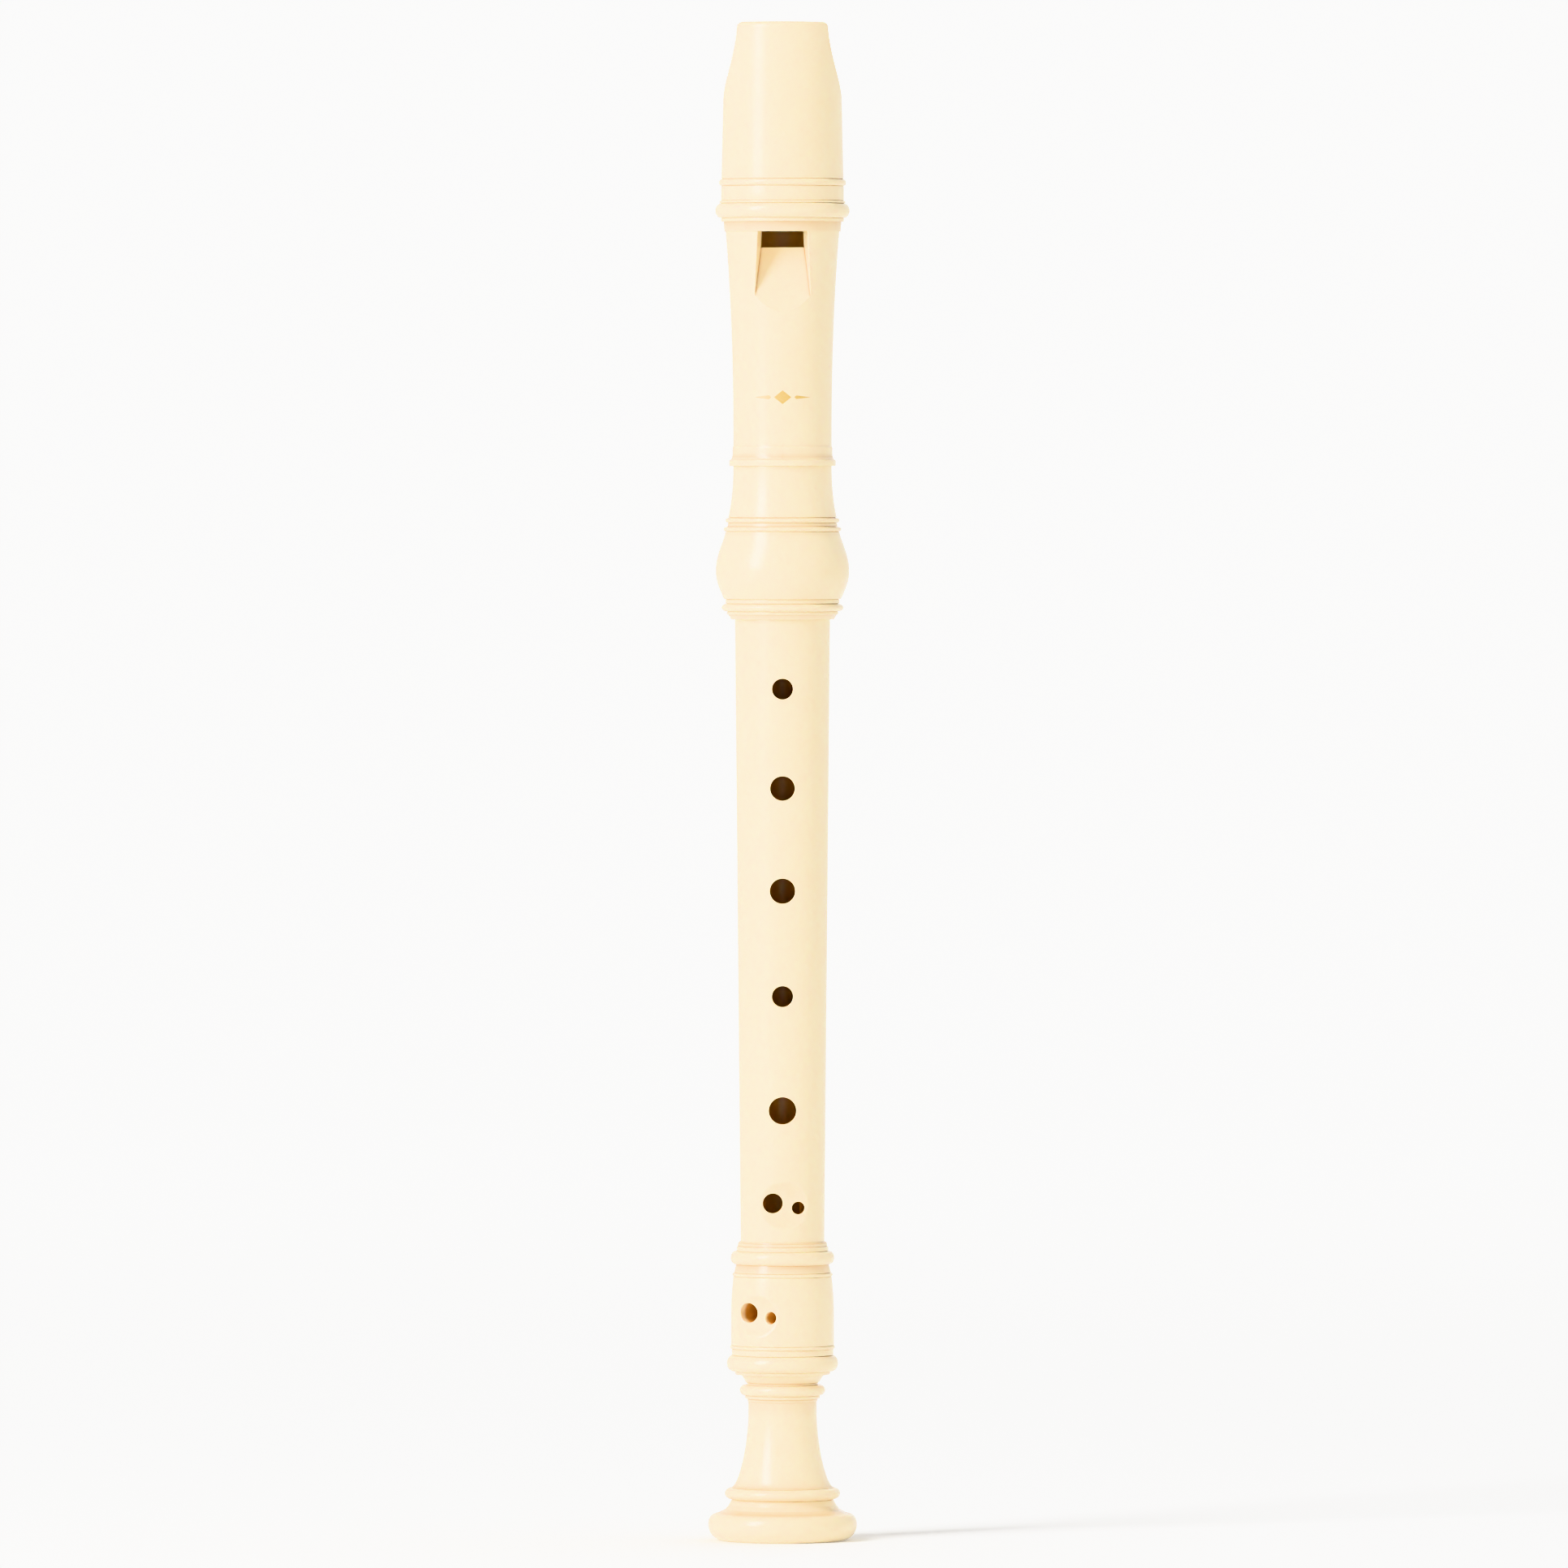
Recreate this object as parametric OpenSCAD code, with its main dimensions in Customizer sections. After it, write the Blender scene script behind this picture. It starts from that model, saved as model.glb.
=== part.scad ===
// Soprano recorder, made in three joints that pull apart: head, middle and foot.
// It stands on its bell: +Z runs up the bore, the window and finger holes face -Y.

/* [Bore] */
// Radius of the straight bore in the head
head_bore_r = 6.55; // [5.5:0.05:8]
// Radius of the middle joint's bore at its top
mid_bore_top_r = 6.4; // [5.5:0.05:7.6]
// Radius of the middle joint's bore at its lower end
mid_bore_low_r = 5.0; // [4.9:0.05:6]
// Radius of the straight bore through the foot and bell
foot_bore_r = 4.9; // [4.8:0.05:5.8]

/* [Joints and fits] */
// Wall of the middle joint's upper tenon
upper_tenon_wall = 1.85; // [1.5:0.05:2.4]
// Length of the upper tenon
upper_tenon_len = 20.5; // [12:0.5:26]
// Wall of the middle joint's lower tenon
lower_tenon_wall = 2.2; // [1.8:0.05:2.8]
// Length of the lower tenon
lower_tenon_len = 10.4; // [8:0.2:15]
// Room between the end of a tenon and the bottom of its socket
tenon_end_gap = 0.4; // [0.2:0.1:1]
// Radial running clearance of a tenon in its socket
tenon_gap = 0.05; // [0.02:0.01:0.1]
// Radial clearance of pieces that are glued or welded together
weld_gap = 0.03; // [0.01:0.01:0.1]
// Radial thickness of a seal ring
seal_t = 0.7; // [0.5:0.05:0.8]
// Width of a seal ring along the bore
seal_w = 2.6; // [1.6:0.1:4]
// Clearance of a seal ring on each side, and on its socket
seal_gap = 0.02; // [0.01:0.005:0.05]
// Distance from a tenon's shoulder to its seal ring
seal_setback = 4; // [2:0.5:5]

/* [Middle joint] */
// Step from the upper tenon out to the tube's top end
upper_shoulder = 1.94; // [1:0.02:3]
// Step from the lower tenon out to the tube's lower end
lower_shoulder = 1.77; // [1:0.01:3]
// Distance from the tube's top end down to hole 1
top_margin = 14.9; // [10:0.1:25]
// Distances between the centres of holes 1 to 6
hole_pitch = [21.3, 22, 22.6, 24.5, 20.4];
// Distance from hole 6 down to the tube's lower end
low_margin = 8; // [6.5:0.1:12]
// Diameters of holes 1 to 5
hole_d = [4.5, 5.3, 5.45, 4.55, 5.9];
// Diameter of the thumb hole
thumb_d = 5; // [4:0.1:6]
// Distance from hole 1 up to the thumb hole
thumb_rise = 7.8; // [6:0.1:11]

/* [Double holes] */
// Diameter of the larger hole of a pair
double_big_d = 4.3; // [3.6:0.1:5.2]
// Diameter of the smaller hole of a pair
double_small_d = 2.75; // [2.2:0.05:3.3]
// Distance between the two centres of a pair
double_pitch = 5.45; // [4.6:0.05:6]
// Height of the larger hole above the smaller one
double_drop = 1.0; // [0:0.1:1.5]
// Radius of the finger dish that the pair is cut in
dish_r = 9.2; // [8:0.1:11]
// Half width of the dish across the tube
dish_half_w = 5.05; // [4.5:0.05:5.8]
// Turn of the middle joint's pair from straight ahead, towards +X
mid_pair_turn = 2; // [-20:1:20]
// Turn of the foot's pair from straight ahead, towards +X
foot_pair_turn = -32; // [-50:0.5:50]

/* [Bulb sleeve] */
// Wall around the upper tenon's socket
socket_wall = 3.3; // [2.4:0.1:4.5]
// How far the bulb swells out from the socket wall
bulb_proud = 2.7; // [1.5:0.1:4]
// Wall around the barrel's lower spigot
sleeve_wall = 1.91; // [1.4:0.01:3]

/* [Head barrel] */
// Length of the barrel between the sleeve and the beak cap
barrel_len = 50.3; // [40:0.1:65]
// Length of the lower spigot, inside the sleeve
low_spigot_len = 12; // [8:0.5:16]
// Wall of the lower spigot
low_spigot_wall = 2.05; // [1.5:0.05:2.6]
// Length of the upper spigot, inside the beak cap
top_spigot_len = 10; // [6:0.5:14]
// Wall of the upper spigot
top_spigot_wall = 3.8; // [3:0.1:4.4]
// Step from the upper spigot out to the barrel's top end
barrel_top_step = 1.84; // [1.2:0.01:3]

/* [Window] */
// Width of the window where the windway ends
window_w = 8.83; // [7:0.01:10]
// Height of the window, from the windway's end to the lip
window_h = 3.5; // [2.8:0.1:4.5]
// Distance of the lip's edge in front of the bore's axis
lip_y = 4.85; // [4.2:0.05:5.4]
// Thickness of the lip's edge
lip_edge = 0.3; // [0.2:0.05:0.6]
// Slope of the ramp, outward run for each unit of fall
ramp_slope = 0.443; // [0.36:0.001:0.55]
// Length of the flat under the lip, where it blends into the bore
lip_under_len = 16; // [10:1:20]
// Widening of the window's sides for each unit of depth
side_draft = 0.15; // [0.05:0.01:0.25]
// Widening of the window's sides for each unit of fall
side_flare = 0.059; // [0:0.001:0.1]

/* [Beak] */
// Length of the beak cap
cap_len = 44.8; // [38:0.1:54]
// Wall of the beak cap above its rings
cap_wall = 2.7; // [2:0.05:3.6]
// Narrowing of the beak's radius from its rings to its tip
cap_taper = 0.7; // [0:0.05:1.2]
// Thickness of the beak at its tip
tip_t = 4.9; // [4.2:0.1:5.6]
// Radius of the scoop in the beak's back
scoop_r = 21.6; // [18:0.1:28]
// Height of the windway where it ends, at the window
windway_out_h = 0.9; // [0.7:0.05:1.2]
// Height of the windway at the tip
windway_in_h = 1.1; // [1:0.05:1.4]
// Width of the windway at the tip
windway_in_w = 9; // [8.8:0.1:9.4]
// Thickness of the block at the tip, behind the windway
block_tip_t = 1.4; // [1:0.1:1.8]
// Rounding of the tip's edge
tip_round = 1.1; // [0.6:0.1:1.6]

/* [Foot and bell] */
// Length of solid wall between the foot's two sockets
foot_web = 9.4; // [8:0.1:14]
// Wall of the foot around its upper socket
foot_wall = 3.78; // [3:0.01:5]
// Length of the bell's spigot inside the foot
bell_spigot_len = 8.3; // [6:0.1:10]
// Wall of the bell's spigot
bell_spigot_wall = 2.5; // [1.8:0.1:3.2]
// Length of the bell below the foot
bell_len = 35.7; // [31:0.1:48]
// Wall of the bell at its slender neck
bell_neck_wall = 2.42; // [1.8:0.01:3.5]
// How far the bell's rim spreads beyond its neck
bell_spread = 8.62; // [7:0.01:11]
// Width of the flat ring that the bell stands on
bell_stand_w = 7.2; // [5:0.1:8]
// Chamfer of the bore's mouth in the bell's end
mouth_chamfer = 0.5; // [0.2:0.1:1]

/* [Hidden] */
$fn = 96;
ivory = [0.98, 0.93, 0.82];
ivory_deep = [0.93, 0.86, 0.72];
seal_grey = [0.25, 0.24, 0.23];
// Steps along a bead, and along a long curve
bead_n = 8;
curve_n = 12;
// Overshoot of a cutting shape past the face that it opens
over = 2;
// Reach of a cutting shape that takes away everything in front of a plane
reach = 40;

// Radii that follow from the bores and walls
upper_tenon_r = mid_bore_top_r + upper_tenon_wall;
lower_tenon_r = mid_bore_low_r + lower_tenon_wall;
tube_top_r = upper_tenon_r + upper_shoulder;
tube_low_r = lower_tenon_r + lower_shoulder;
sleeve_socket_r = upper_tenon_r + tenon_gap;
foot_socket_r = lower_tenon_r + tenon_gap;
socket_r = sleeve_socket_r + socket_wall;
bulb_r = socket_r + bulb_proud;
low_spigot_r = head_bore_r + low_spigot_wall;
sleeve_neck_r = low_spigot_r + weld_gap + sleeve_wall;
top_spigot_r = head_bore_r + top_spigot_wall;
pocket_r = top_spigot_r + weld_gap;
barrel_top_r = top_spigot_r + barrel_top_step;
cap_r = pocket_r + cap_wall;
tip_r = cap_r - cap_taper;
foot_r = foot_socket_r + foot_wall;
bell_spigot_r = foot_bore_r + bell_spigot_wall;
neck_r = foot_bore_r + bell_neck_wall;
rim_r = neck_r + bell_spread;

// Lengths and heights that follow from the stack of pieces
foot_socket_depth = lower_tenon_len + tenon_end_gap;
foot_len = foot_socket_depth + foot_web + bell_spigot_len;
sleeve_socket_depth = upper_tenon_len + tenon_end_gap;
sleeve_len = sleeve_socket_depth + low_spigot_len;
pitch_sum = hole_pitch * [1, 1, 1, 1, 1];
tube_len = top_margin + pitch_sum + low_margin;
foot_z = bell_len;
tube_z = foot_z + foot_len;
sleeve_z = tube_z + tube_len;
barrel_z = sleeve_z + sleeve_len;
cap_z = barrel_z + barrel_len;
tip_z = cap_z + cap_len;

// Heights of holes 1 to 6 above the middle joint's lower shoulder
hole_z = [for (i = [0:5]) tube_len - top_margin - sum_first(hole_pitch, i)];
// Height of the foot's pair above the foot's lower end, in the middle of its web
foot_pair_z = bell_spigot_len + foot_web / 2;

// Windway: how far its floor and roof lie in front of the axis, at both ends
floor_out_y = lip_y - windway_out_h / 2;
roof_out_y = lip_y + windway_out_h / 2;
floor_in_y = tip_r - tip_t + block_tip_t;
roof_in_y = floor_in_y + windway_in_h;

// Sum of the first n entries of a list
function sum_first(list, n) = n < 1 ? 0 : list[n - 1] + sum_first(list, n - 1);

// How far the windway's floor lies in front of the axis, at height z in the cap
function floor_y(z) = floor_out_y + (floor_in_y - floor_out_y) * z / cap_len;

// How far the windway's roof lies in front of the axis, at height z in the cap
function roof_y(z) = roof_out_y + (roof_in_y - roof_out_y) * z / cap_len;

// Radius of the tapered tube's outside at height z above its lower shoulder
function tube_r(z) = tube_low_r + (tube_top_r - tube_low_r) * z / tube_len;

// Half-round moulding from height z0 to z1 on radius r, standing proud of it
function bead(r, proud, z0, z1) = [
    for (i = [0:bead_n]) let (a = 180 * i / bead_n)
        [r + proud * sin(a), (z0 + z1) / 2 - cos(a) * (z1 - z0) / 2]
];

// Square moulding of radius r from height z0 to z1
function band(r, z0, z1) = [[r, z0], [r, z1]];

// Curve from [r0, z0] to [r1, z1] whose radius follows the power k of the height
function rise(r0, z0, r1, z1, k) = [
    for (i = [0:curve_n]) let (t = i / curve_n)
        [r0 + (r1 - r0) * pow(t, k), z0 + (z1 - z0) * t]
];

// Crowned curve: widest r1 at height z1, down to r0 at height z0, fullness k
function crown(r0, z0, r1, z1, k) = [
    for (i = [0:curve_n]) let (a = 90 * i / curve_n)
        [r0 + (r1 - r0) * pow(cos(a), k), z1 + (z0 - z1) * i / curve_n]
];

// Flare from neck radius r0 at height z0 out to r1 at height z1, a superellipse of power k
function flare(r0, z0, r1, z1, k) = [
    for (i = [0:curve_n]) let (a = 90 * i / curve_n)
        [r0 + (r1 - r0) * (1 - pow(cos(a), 2 / k)), z0 + (z1 - z0) * pow(sin(a), 2 / k)]
];

// Quarter ellipse from [r0, z0], where it runs across, to [r1, z1], where it runs up
function quarter(r0, z0, r1, z1) = [
    for (i = [0:curve_n]) let (a = 90 * i / curve_n)
        [r0 + (r1 - r0) * sin(a), z1 + (z0 - z1) * cos(a)]
];

function reverse(list) = [for (i = [len(list) - 1:-1:0]) list[i]];

// Solid of revolution between an outer outline and an inner one, both listed upwards
module shell(outer, inner) {
    rotate_extrude() polygon(concat(outer, reverse(inner)));
}

// Prism across the bore, whose side view is a list of [distance in front, height]
module side_prism(points, width) {
    rotate([90, 0, 90])
        linear_extrude(width, center = true)
            polygon([for (p = points) [-p.x, p.y]]);
}

// Straight hole of diameter d through the front wall, turned, shifted sideways
module front_hole(d, turn, shift, z) {
    rotate(turn) translate([shift, 0, z]) rotate([90, 0, 0]) cylinder(d = d, h = reach);
}

// Finger dish and double hole in a wall of radius r, turned towards +X by turn
module double_hole(r, turn, z) {
    dish_floor = sqrt(r * r - dish_half_w * dish_half_w);
    outer_edge = (double_pitch + (double_big_d + double_small_d) / 2) / 2;
    rotate(turn) {
        translate([0, -dish_floor - dish_r, z])
            rotate([0, 90, 0]) cylinder(r = dish_r, h = reach, center = true);
    }
    front_hole(double_big_d, turn, double_big_d / 2 - outer_edge, z + double_drop / 2);
    front_hole(double_small_d, turn, outer_edge - double_small_d / 2, z - double_drop / 2);
}

// Seal ring for a tenon of radius r, whose socket is tenon_gap larger
module seal_ring(r) {
    difference() {
        cylinder(r = r + tenon_gap - seal_gap, h = seal_w, center = true);
        cylinder(r = r - seal_t + seal_gap, h = seal_w + over, center = true);
    }
}

// Groove for the seal ring in a tenon of radius r, as a cutting shape
module seal_groove(r) {
    difference() {
        cylinder(r = r + over, h = seal_w + 2 * seal_gap, center = true);
        cylinder(r = r - seal_t, h = seal_w + over, center = true);
    }
}

// Scoop that thins the beak from behind, with its axis across the tip
module scoop() {
    translate([0, scoop_r - tip_r + tip_t, tip_z])
        rotate([0, 90, 0]) cylinder(r = scoop_r, h = reach, center = true);
}

// Everything in front of the windway's floor, from the cap's lower end up
module front_of_floor() {
    translate([0, 0, cap_z])
        side_prism([[floor_y(0), 0], [floor_y(cap_len + over), cap_len + over],
                    [reach, cap_len + over], [reach, 0]], reach);
}

// The windway itself, widening towards the tip, open at both ends
module windway() {
    half_out = window_w / 2;
    half_in = windway_in_w / 2;
    translate([0, 0, cap_z]) intersection() {
        side_prism([[floor_y(-over), -over], [floor_y(cap_len + over), cap_len + over],
                    [roof_y(cap_len + over), cap_len + over], [roof_y(-over), -over]], reach);
        rotate([90, 0, 0]) linear_extrude(reach)
            polygon([[-half_out, -over], [half_out, -over], [half_out, 0], [half_in, cap_len],
                     [half_in, cap_len + over], [-half_in, cap_len + over],
                     [-half_in, cap_len], [-half_out, 0]]);
    }
}

// Everything on the inner side of one slanted window wall, side +1 or -1
module window_side(side) {
    draft_a = atan(side_draft);
    flare_a = atan(side_flare);
    translate([side * window_w / 2, -lip_y, cap_z])
        rotate([0, -side * flare_a, side * draft_a])
            translate([side > 0 ? -reach : 0, -reach, -reach])
                cube([reach, 2 * reach, 2 * reach]);
}

// Window and ramp, as one cutting shape
module window_cut() {
    ramp_y = lip_y + lip_edge / 2;
    ramp_len = (barrel_top_r + over - ramp_y) / ramp_slope;
    intersection() {
        translate([0, 0, cap_z])
            side_prism([[floor_y(0), 0], [floor_y(over), over], [reach / 2, over],
                        [reach / 2, -window_h - ramp_len],
                        [barrel_top_r + over, -window_h - ramp_len],
                        [ramp_y, -window_h], [floor_y(0), -window_h]], reach);
        window_side(1);
        window_side(-1);
    }
}

// Flat underside of the lip, which fills the round bore in front of a plane
module lip_fill() {
    under_y = lip_y - lip_edge / 2;
    intersection() {
        translate([0, 0, cap_z - window_h - lip_under_len])
            cylinder(r = head_bore_r + low_spigot_wall / 2, h = lip_under_len);
        translate([0, 0, cap_z - window_h])
            side_prism([[under_y, 0], [head_bore_r, -lip_under_len],
                        [reach, -lip_under_len], [reach, 0]], reach);
    }
}

// Outline of the beak cap's outside: collar, rings, and the taper up to the rounded tip
function cap_outer() = concat(
    [[cap_r - 0.61, 0], [cap_r - 0.43, 2.1]],
    band(cap_r + 0.09, 2.1, 2.8),
    bead(cap_r + 0.1, 1.21, 2.9, 6.1),
    band(cap_r + 0.4, 6.1, 6.5),
    band(cap_r + 0.07, 6.6, 9.7),
    bead(cap_r + 0.05, 0.5, 9.8, 11.2),
    [[cap_r, 11.3]],
    [for (i = [0:bead_n]) let (a = 90 * i / bead_n)
        [tip_r - tip_round * (1 - cos(a)), cap_len - tip_round * (1 - sin(a))]]
);

// Outline of the barrel's outside: lower collar, slender tube, swelling to the cap
function barrel_outer() = concat(
    band(sleeve_neck_r + 0.86, 0, 1.15),
    quarter_cove(sleeve_neck_r + 0.78, 1.25, sleeve_neck_r + 0.17, 2.8),
    [[sleeve_neck_r + 0.17, 3.9]],
    rise(sleeve_neck_r, 4.3, barrel_top_r, barrel_len, 2.3)
);

// Concave quarter from [r0, z0], where it runs across, to [r1, z1], where it runs up
function quarter_cove(r0, z0, r1, z1) = [
    for (i = [0:bead_n / 2]) let (a = 180 * i / bead_n)
        [r1 + (r0 - r1) * (1 - sin(a)), z0 + (z1 - z0) * (1 - cos(a))]
];

// Outline of the bulb sleeve's outside: rim, ring, bulb, two rings, and the drawn-in neck
function sleeve_outer() = let (top = sleeve_len, bulb_z = 10.2, bulb_top = 18.8) concat(
    [[socket_r - 0.54, 0], [socket_r, 0.95]],
    band(socket_r + 0.33, 1.05, 1.6),
    bead(socket_r + 0.4, 1.07, 1.7, 3.3),
    band(socket_r + 0.59, 3.4, 4.2),
    reverse(crown(socket_r + 0.95, 4.35, bulb_r, bulb_z, 1)),
    crown(socket_r + 0.6, bulb_top - 0.05, bulb_r, bulb_z + 0.3, 1.25),
    bead(socket_r + 0.5, 0.53, bulb_top + 0.05, bulb_top + 0.95),
    [[socket_r + 0.2, bulb_top + 1.1], [socket_r + 0.1, bulb_top + 1.85]],
    bead(socket_r + 0.1, 0.49, bulb_top + 1.9, bulb_top + 2.9),
    reverse(rise(sleeve_neck_r, top, socket_r, bulb_top + 3.1, 2.2))
);

// Outline of the foot's outside: rim, beads, dished body, beads and the thin ledge
function foot_outer() = let (top = foot_len) concat(
    [[foot_r - 0.93, 0], [foot_r - 0.75, 0.6]],
    bead(foot_r - 0.4, 1.3, 0.7, 4.1),
    band(foot_r - 0.14, 4.2, 5.4),
    bead(foot_r - 0.1, 0.31, 5.5, 6.2),
    [[foot_r, 6.3], [foot_r, 13.8]],
    rise(foot_r, 13.8, foot_r - 0.49, top - 7.5, 1.6),
    bead(foot_r - 0.55, 0.26, top - 7.4, top - 6.7),
    [[foot_r - 0.66, top - 6.65]],
    bead(foot_r - 0.9, 0.97, top - 4.8, top - 2.05),
    band(foot_r - 1.19, top - 1.95, top - 1.15),
    band(foot_r - 1.45, top - 0.95, top - 0.35),
    [[foot_r - 1.6, top - 0.3], [foot_r - 1.67, top]]
);

// Outline of the bell's outside: standing face, rounded rim, bead, flare, neck and beads
function bell_outer() = let (top = bell_len, stand_r = foot_bore_r + mouth_chamfer + bell_stand_w) concat(
    quarter(stand_r, 0, rim_r, 3.4),
    crown_out(rim_r, 3.6, rim_r - 1.31, 5.7),
    [[rim_r - 2.3, 6.0], [rim_r - 3.66, 6.7], [rim_r - 4.44, 7.6], [rim_r - 5.05, 8.8]],
    bead(rim_r - 5.05, 1.48, 8.9, 11.3),
    reverse(flare(neck_r, top - 8.5, rim_r - 4.96, 11.4, 1.65)),
    [[neck_r, top - 5.9]],
    band(neck_r + 0.17, top - 5.7, top - 5.3),
    band(neck_r + 0.69, top - 5.1, top - 4.6),
    bead(neck_r + 0.75, 1.08, top - 4.5, top - 2.3),
    band(neck_r + 0.26, top - 2.2, top - 1.8),
    [[neck_r + 0.52, top - 1.7], [neck_r + 1.39, top - 0.3], [neck_r + 1.45, top]]
);

// Convex quarter from [r0, z0], where it runs up, to [r1, z1], where it leans in
function crown_out(r0, z0, r1, z1) = [
    for (i = [0:bead_n]) let (a = 75 * i / bead_n)
        [r1 + (r0 - r1) * (cos(a) - cos(75)) / (1 - cos(75)), z0 + (z1 - z0) * sin(a) / sin(75)]
];

// Mouthpiece shell: it holds the windway's roof, and its rings stiffen the lower end
module beak_cap() {
    color(ivory) difference() {
        translate([0, 0, cap_z]) rotate_extrude() polygon(concat([[0, 0]], cap_outer(), [[0, cap_len]]));
        difference() {
            translate([0, 0, cap_z - over]) cylinder(r = pocket_r, h = cap_len + 2 * over);
            translate([0, 0, -over / 2]) front_of_floor();
            front_of_floor();
        }
        windway();
        scoop();
    }
}

// Plug whose flat front is the windway's floor, cut flush with the scoop behind
module windway_block() {
    color(ivory_deep) difference() {
        union() {
            translate([0, 0, cap_z]) cylinder(r = head_bore_r - weld_gap, h = top_spigot_len + over);
            translate([0, 0, cap_z + top_spigot_len])
                cylinder(r = pocket_r - weld_gap, h = cap_len - top_spigot_len);
        }
        front_of_floor();
        scoop();
    }
}

// Sounding tube: spigots into the cap and the sleeve, window, ramp and lip
module head_barrel() {
    color(ivory) difference() {
        union() {
            translate([0, 0, barrel_z]) shell(
                concat(band(low_spigot_r, -low_spigot_len, 0), barrel_outer(),
                       band(top_spigot_r, barrel_len, barrel_len + top_spigot_len)),
                band(head_bore_r, -low_spigot_len, barrel_len + top_spigot_len));
            lip_fill();
        }
        window_cut();
        front_of_floor();
    }
}

// Turned sleeve with the bulb: the socket that the middle joint plugs into
module bulb_sleeve() {
    color(ivory) translate([0, 0, sleeve_z]) shell(
        sleeve_outer(),
        concat(band(sleeve_socket_r, 0, sleeve_socket_depth),
               band(low_spigot_r + weld_gap, sleeve_socket_depth, sleeve_len)));
}

module head_joint_seal() {
    color(seal_grey) translate([0, 0, sleeve_z + seal_setback + seal_w / 2]) seal_ring(upper_tenon_r);
}

// Tapered tube with a tenon at each end, six front holes, a double lowest hole and the thumb hole
module middle_joint() {
    color(ivory) translate([0, 0, tube_z]) difference() {
        shell(
            concat(band(lower_tenon_r, -lower_tenon_len, 0), [[tube_low_r, 0], [tube_top_r, tube_len]],
                   band(upper_tenon_r, tube_len, tube_len + upper_tenon_len)),
            [[mid_bore_low_r, -lower_tenon_len], [mid_bore_top_r, tube_len + upper_tenon_len]]);
        for (i = [0:4]) front_hole(hole_d[i], 0, 0, hole_z[i]);
        double_hole(tube_r(hole_z[5]), mid_pair_turn, hole_z[5]);
        front_hole(thumb_d, 180, 0, hole_z[0] + thumb_rise);
        translate([0, 0, tube_len + seal_setback + seal_w / 2]) seal_groove(upper_tenon_r);
        translate([0, 0, -seal_setback - seal_w / 2]) seal_groove(lower_tenon_r);
    }
}

module foot_joint_seal() {
    color(seal_grey) translate([0, 0, tube_z - seal_setback - seal_w / 2]) seal_ring(lower_tenon_r);
}

// Socket for the lower tenon, with the little finger's double hole turned to one side
module foot_socket() {
    color(ivory) translate([0, 0, foot_z]) difference() {
        shell(
            foot_outer(),
            concat(band(bell_spigot_r + weld_gap, 0, bell_spigot_len),
                   band(foot_bore_r, bell_spigot_len, bell_spigot_len + foot_web),
                   band(foot_socket_r, bell_spigot_len + foot_web, foot_len)));
        double_hole(foot_r, foot_pair_turn, foot_pair_z);
    }
}

// Flared end: its spigot is welded into the foot, and its flat end stands on the table
module bell() {
    color(ivory) shell(
        concat(bell_outer(), band(bell_spigot_r, bell_len, bell_len + bell_spigot_len)),
        concat([[foot_bore_r + mouth_chamfer, 0]],
               band(foot_bore_r, mouth_chamfer, bell_len + bell_spigot_len)));
}

beak_cap();
windway_block();
head_barrel();
bulb_sleeve();
head_joint_seal();
middle_joint();
foot_joint_seal();
foot_socket();
bell();
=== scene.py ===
import math

import bmesh
import bpy
import numpy as np
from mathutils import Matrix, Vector


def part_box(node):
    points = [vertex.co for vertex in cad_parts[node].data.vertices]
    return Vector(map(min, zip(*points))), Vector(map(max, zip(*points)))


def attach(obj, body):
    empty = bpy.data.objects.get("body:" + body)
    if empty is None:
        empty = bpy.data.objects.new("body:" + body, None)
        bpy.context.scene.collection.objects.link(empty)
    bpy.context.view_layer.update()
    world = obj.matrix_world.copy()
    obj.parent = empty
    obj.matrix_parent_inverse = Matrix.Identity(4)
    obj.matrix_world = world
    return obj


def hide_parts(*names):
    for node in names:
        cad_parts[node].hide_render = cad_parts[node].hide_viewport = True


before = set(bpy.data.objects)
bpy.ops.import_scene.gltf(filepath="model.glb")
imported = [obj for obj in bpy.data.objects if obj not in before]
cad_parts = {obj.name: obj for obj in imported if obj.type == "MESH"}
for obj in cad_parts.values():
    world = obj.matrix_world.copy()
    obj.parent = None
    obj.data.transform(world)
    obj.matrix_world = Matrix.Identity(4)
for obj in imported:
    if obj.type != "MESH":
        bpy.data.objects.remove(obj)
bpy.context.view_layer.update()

# ---------------------------------------------------------------- middle joint
# The long tapered tube, moulded in glossy ivory ABS. Five finger holes run down its
# front, the lowest pair shares a scooped dish, the thumb hole is behind, and a
# stepped tenon at each end carries a seal ring and pushes into the next joint.
MM = 0.001
tube_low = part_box("foot_socket")[1].z / MM
tube_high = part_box("bulb_sleeve")[0].z / MM
tenon_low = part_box("middle_joint")[0].z / MM
tenon_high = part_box("middle_joint")[1].z / MM
columns = 192
column_angle = 2 * math.pi / columns
all_round = column_angle * np.arange(columns + 1)


def around(profile, angles=all_round):
    """Sheet of revolution: a profile of radius and height carried round the bore's
    axis. Angle 0 is the front, and it grows towards the right hand side."""
    radius, height = np.asarray(profile, float).T[:, :, None]
    return np.stack([radius * np.sin(angles), -radius * np.cos(angles), height + 0 * angles], -1)


def bend(start, corner, end, t):
    """Parabola from start to end that leaves and arrives along the lines through the
    corner: the three points weighted by (1-t) squared, 2t(1-t) and t squared."""
    return (1 - t) ** 2 * start + 2 * t * (1 - t) * corner + t**2 * end


def distinct(path):
    """Path without the points that repeat the point before them."""
    return path[np.r_[True, np.linalg.norm(np.diff(path, axis=0), axis=1) > 1e-4]]


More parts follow.
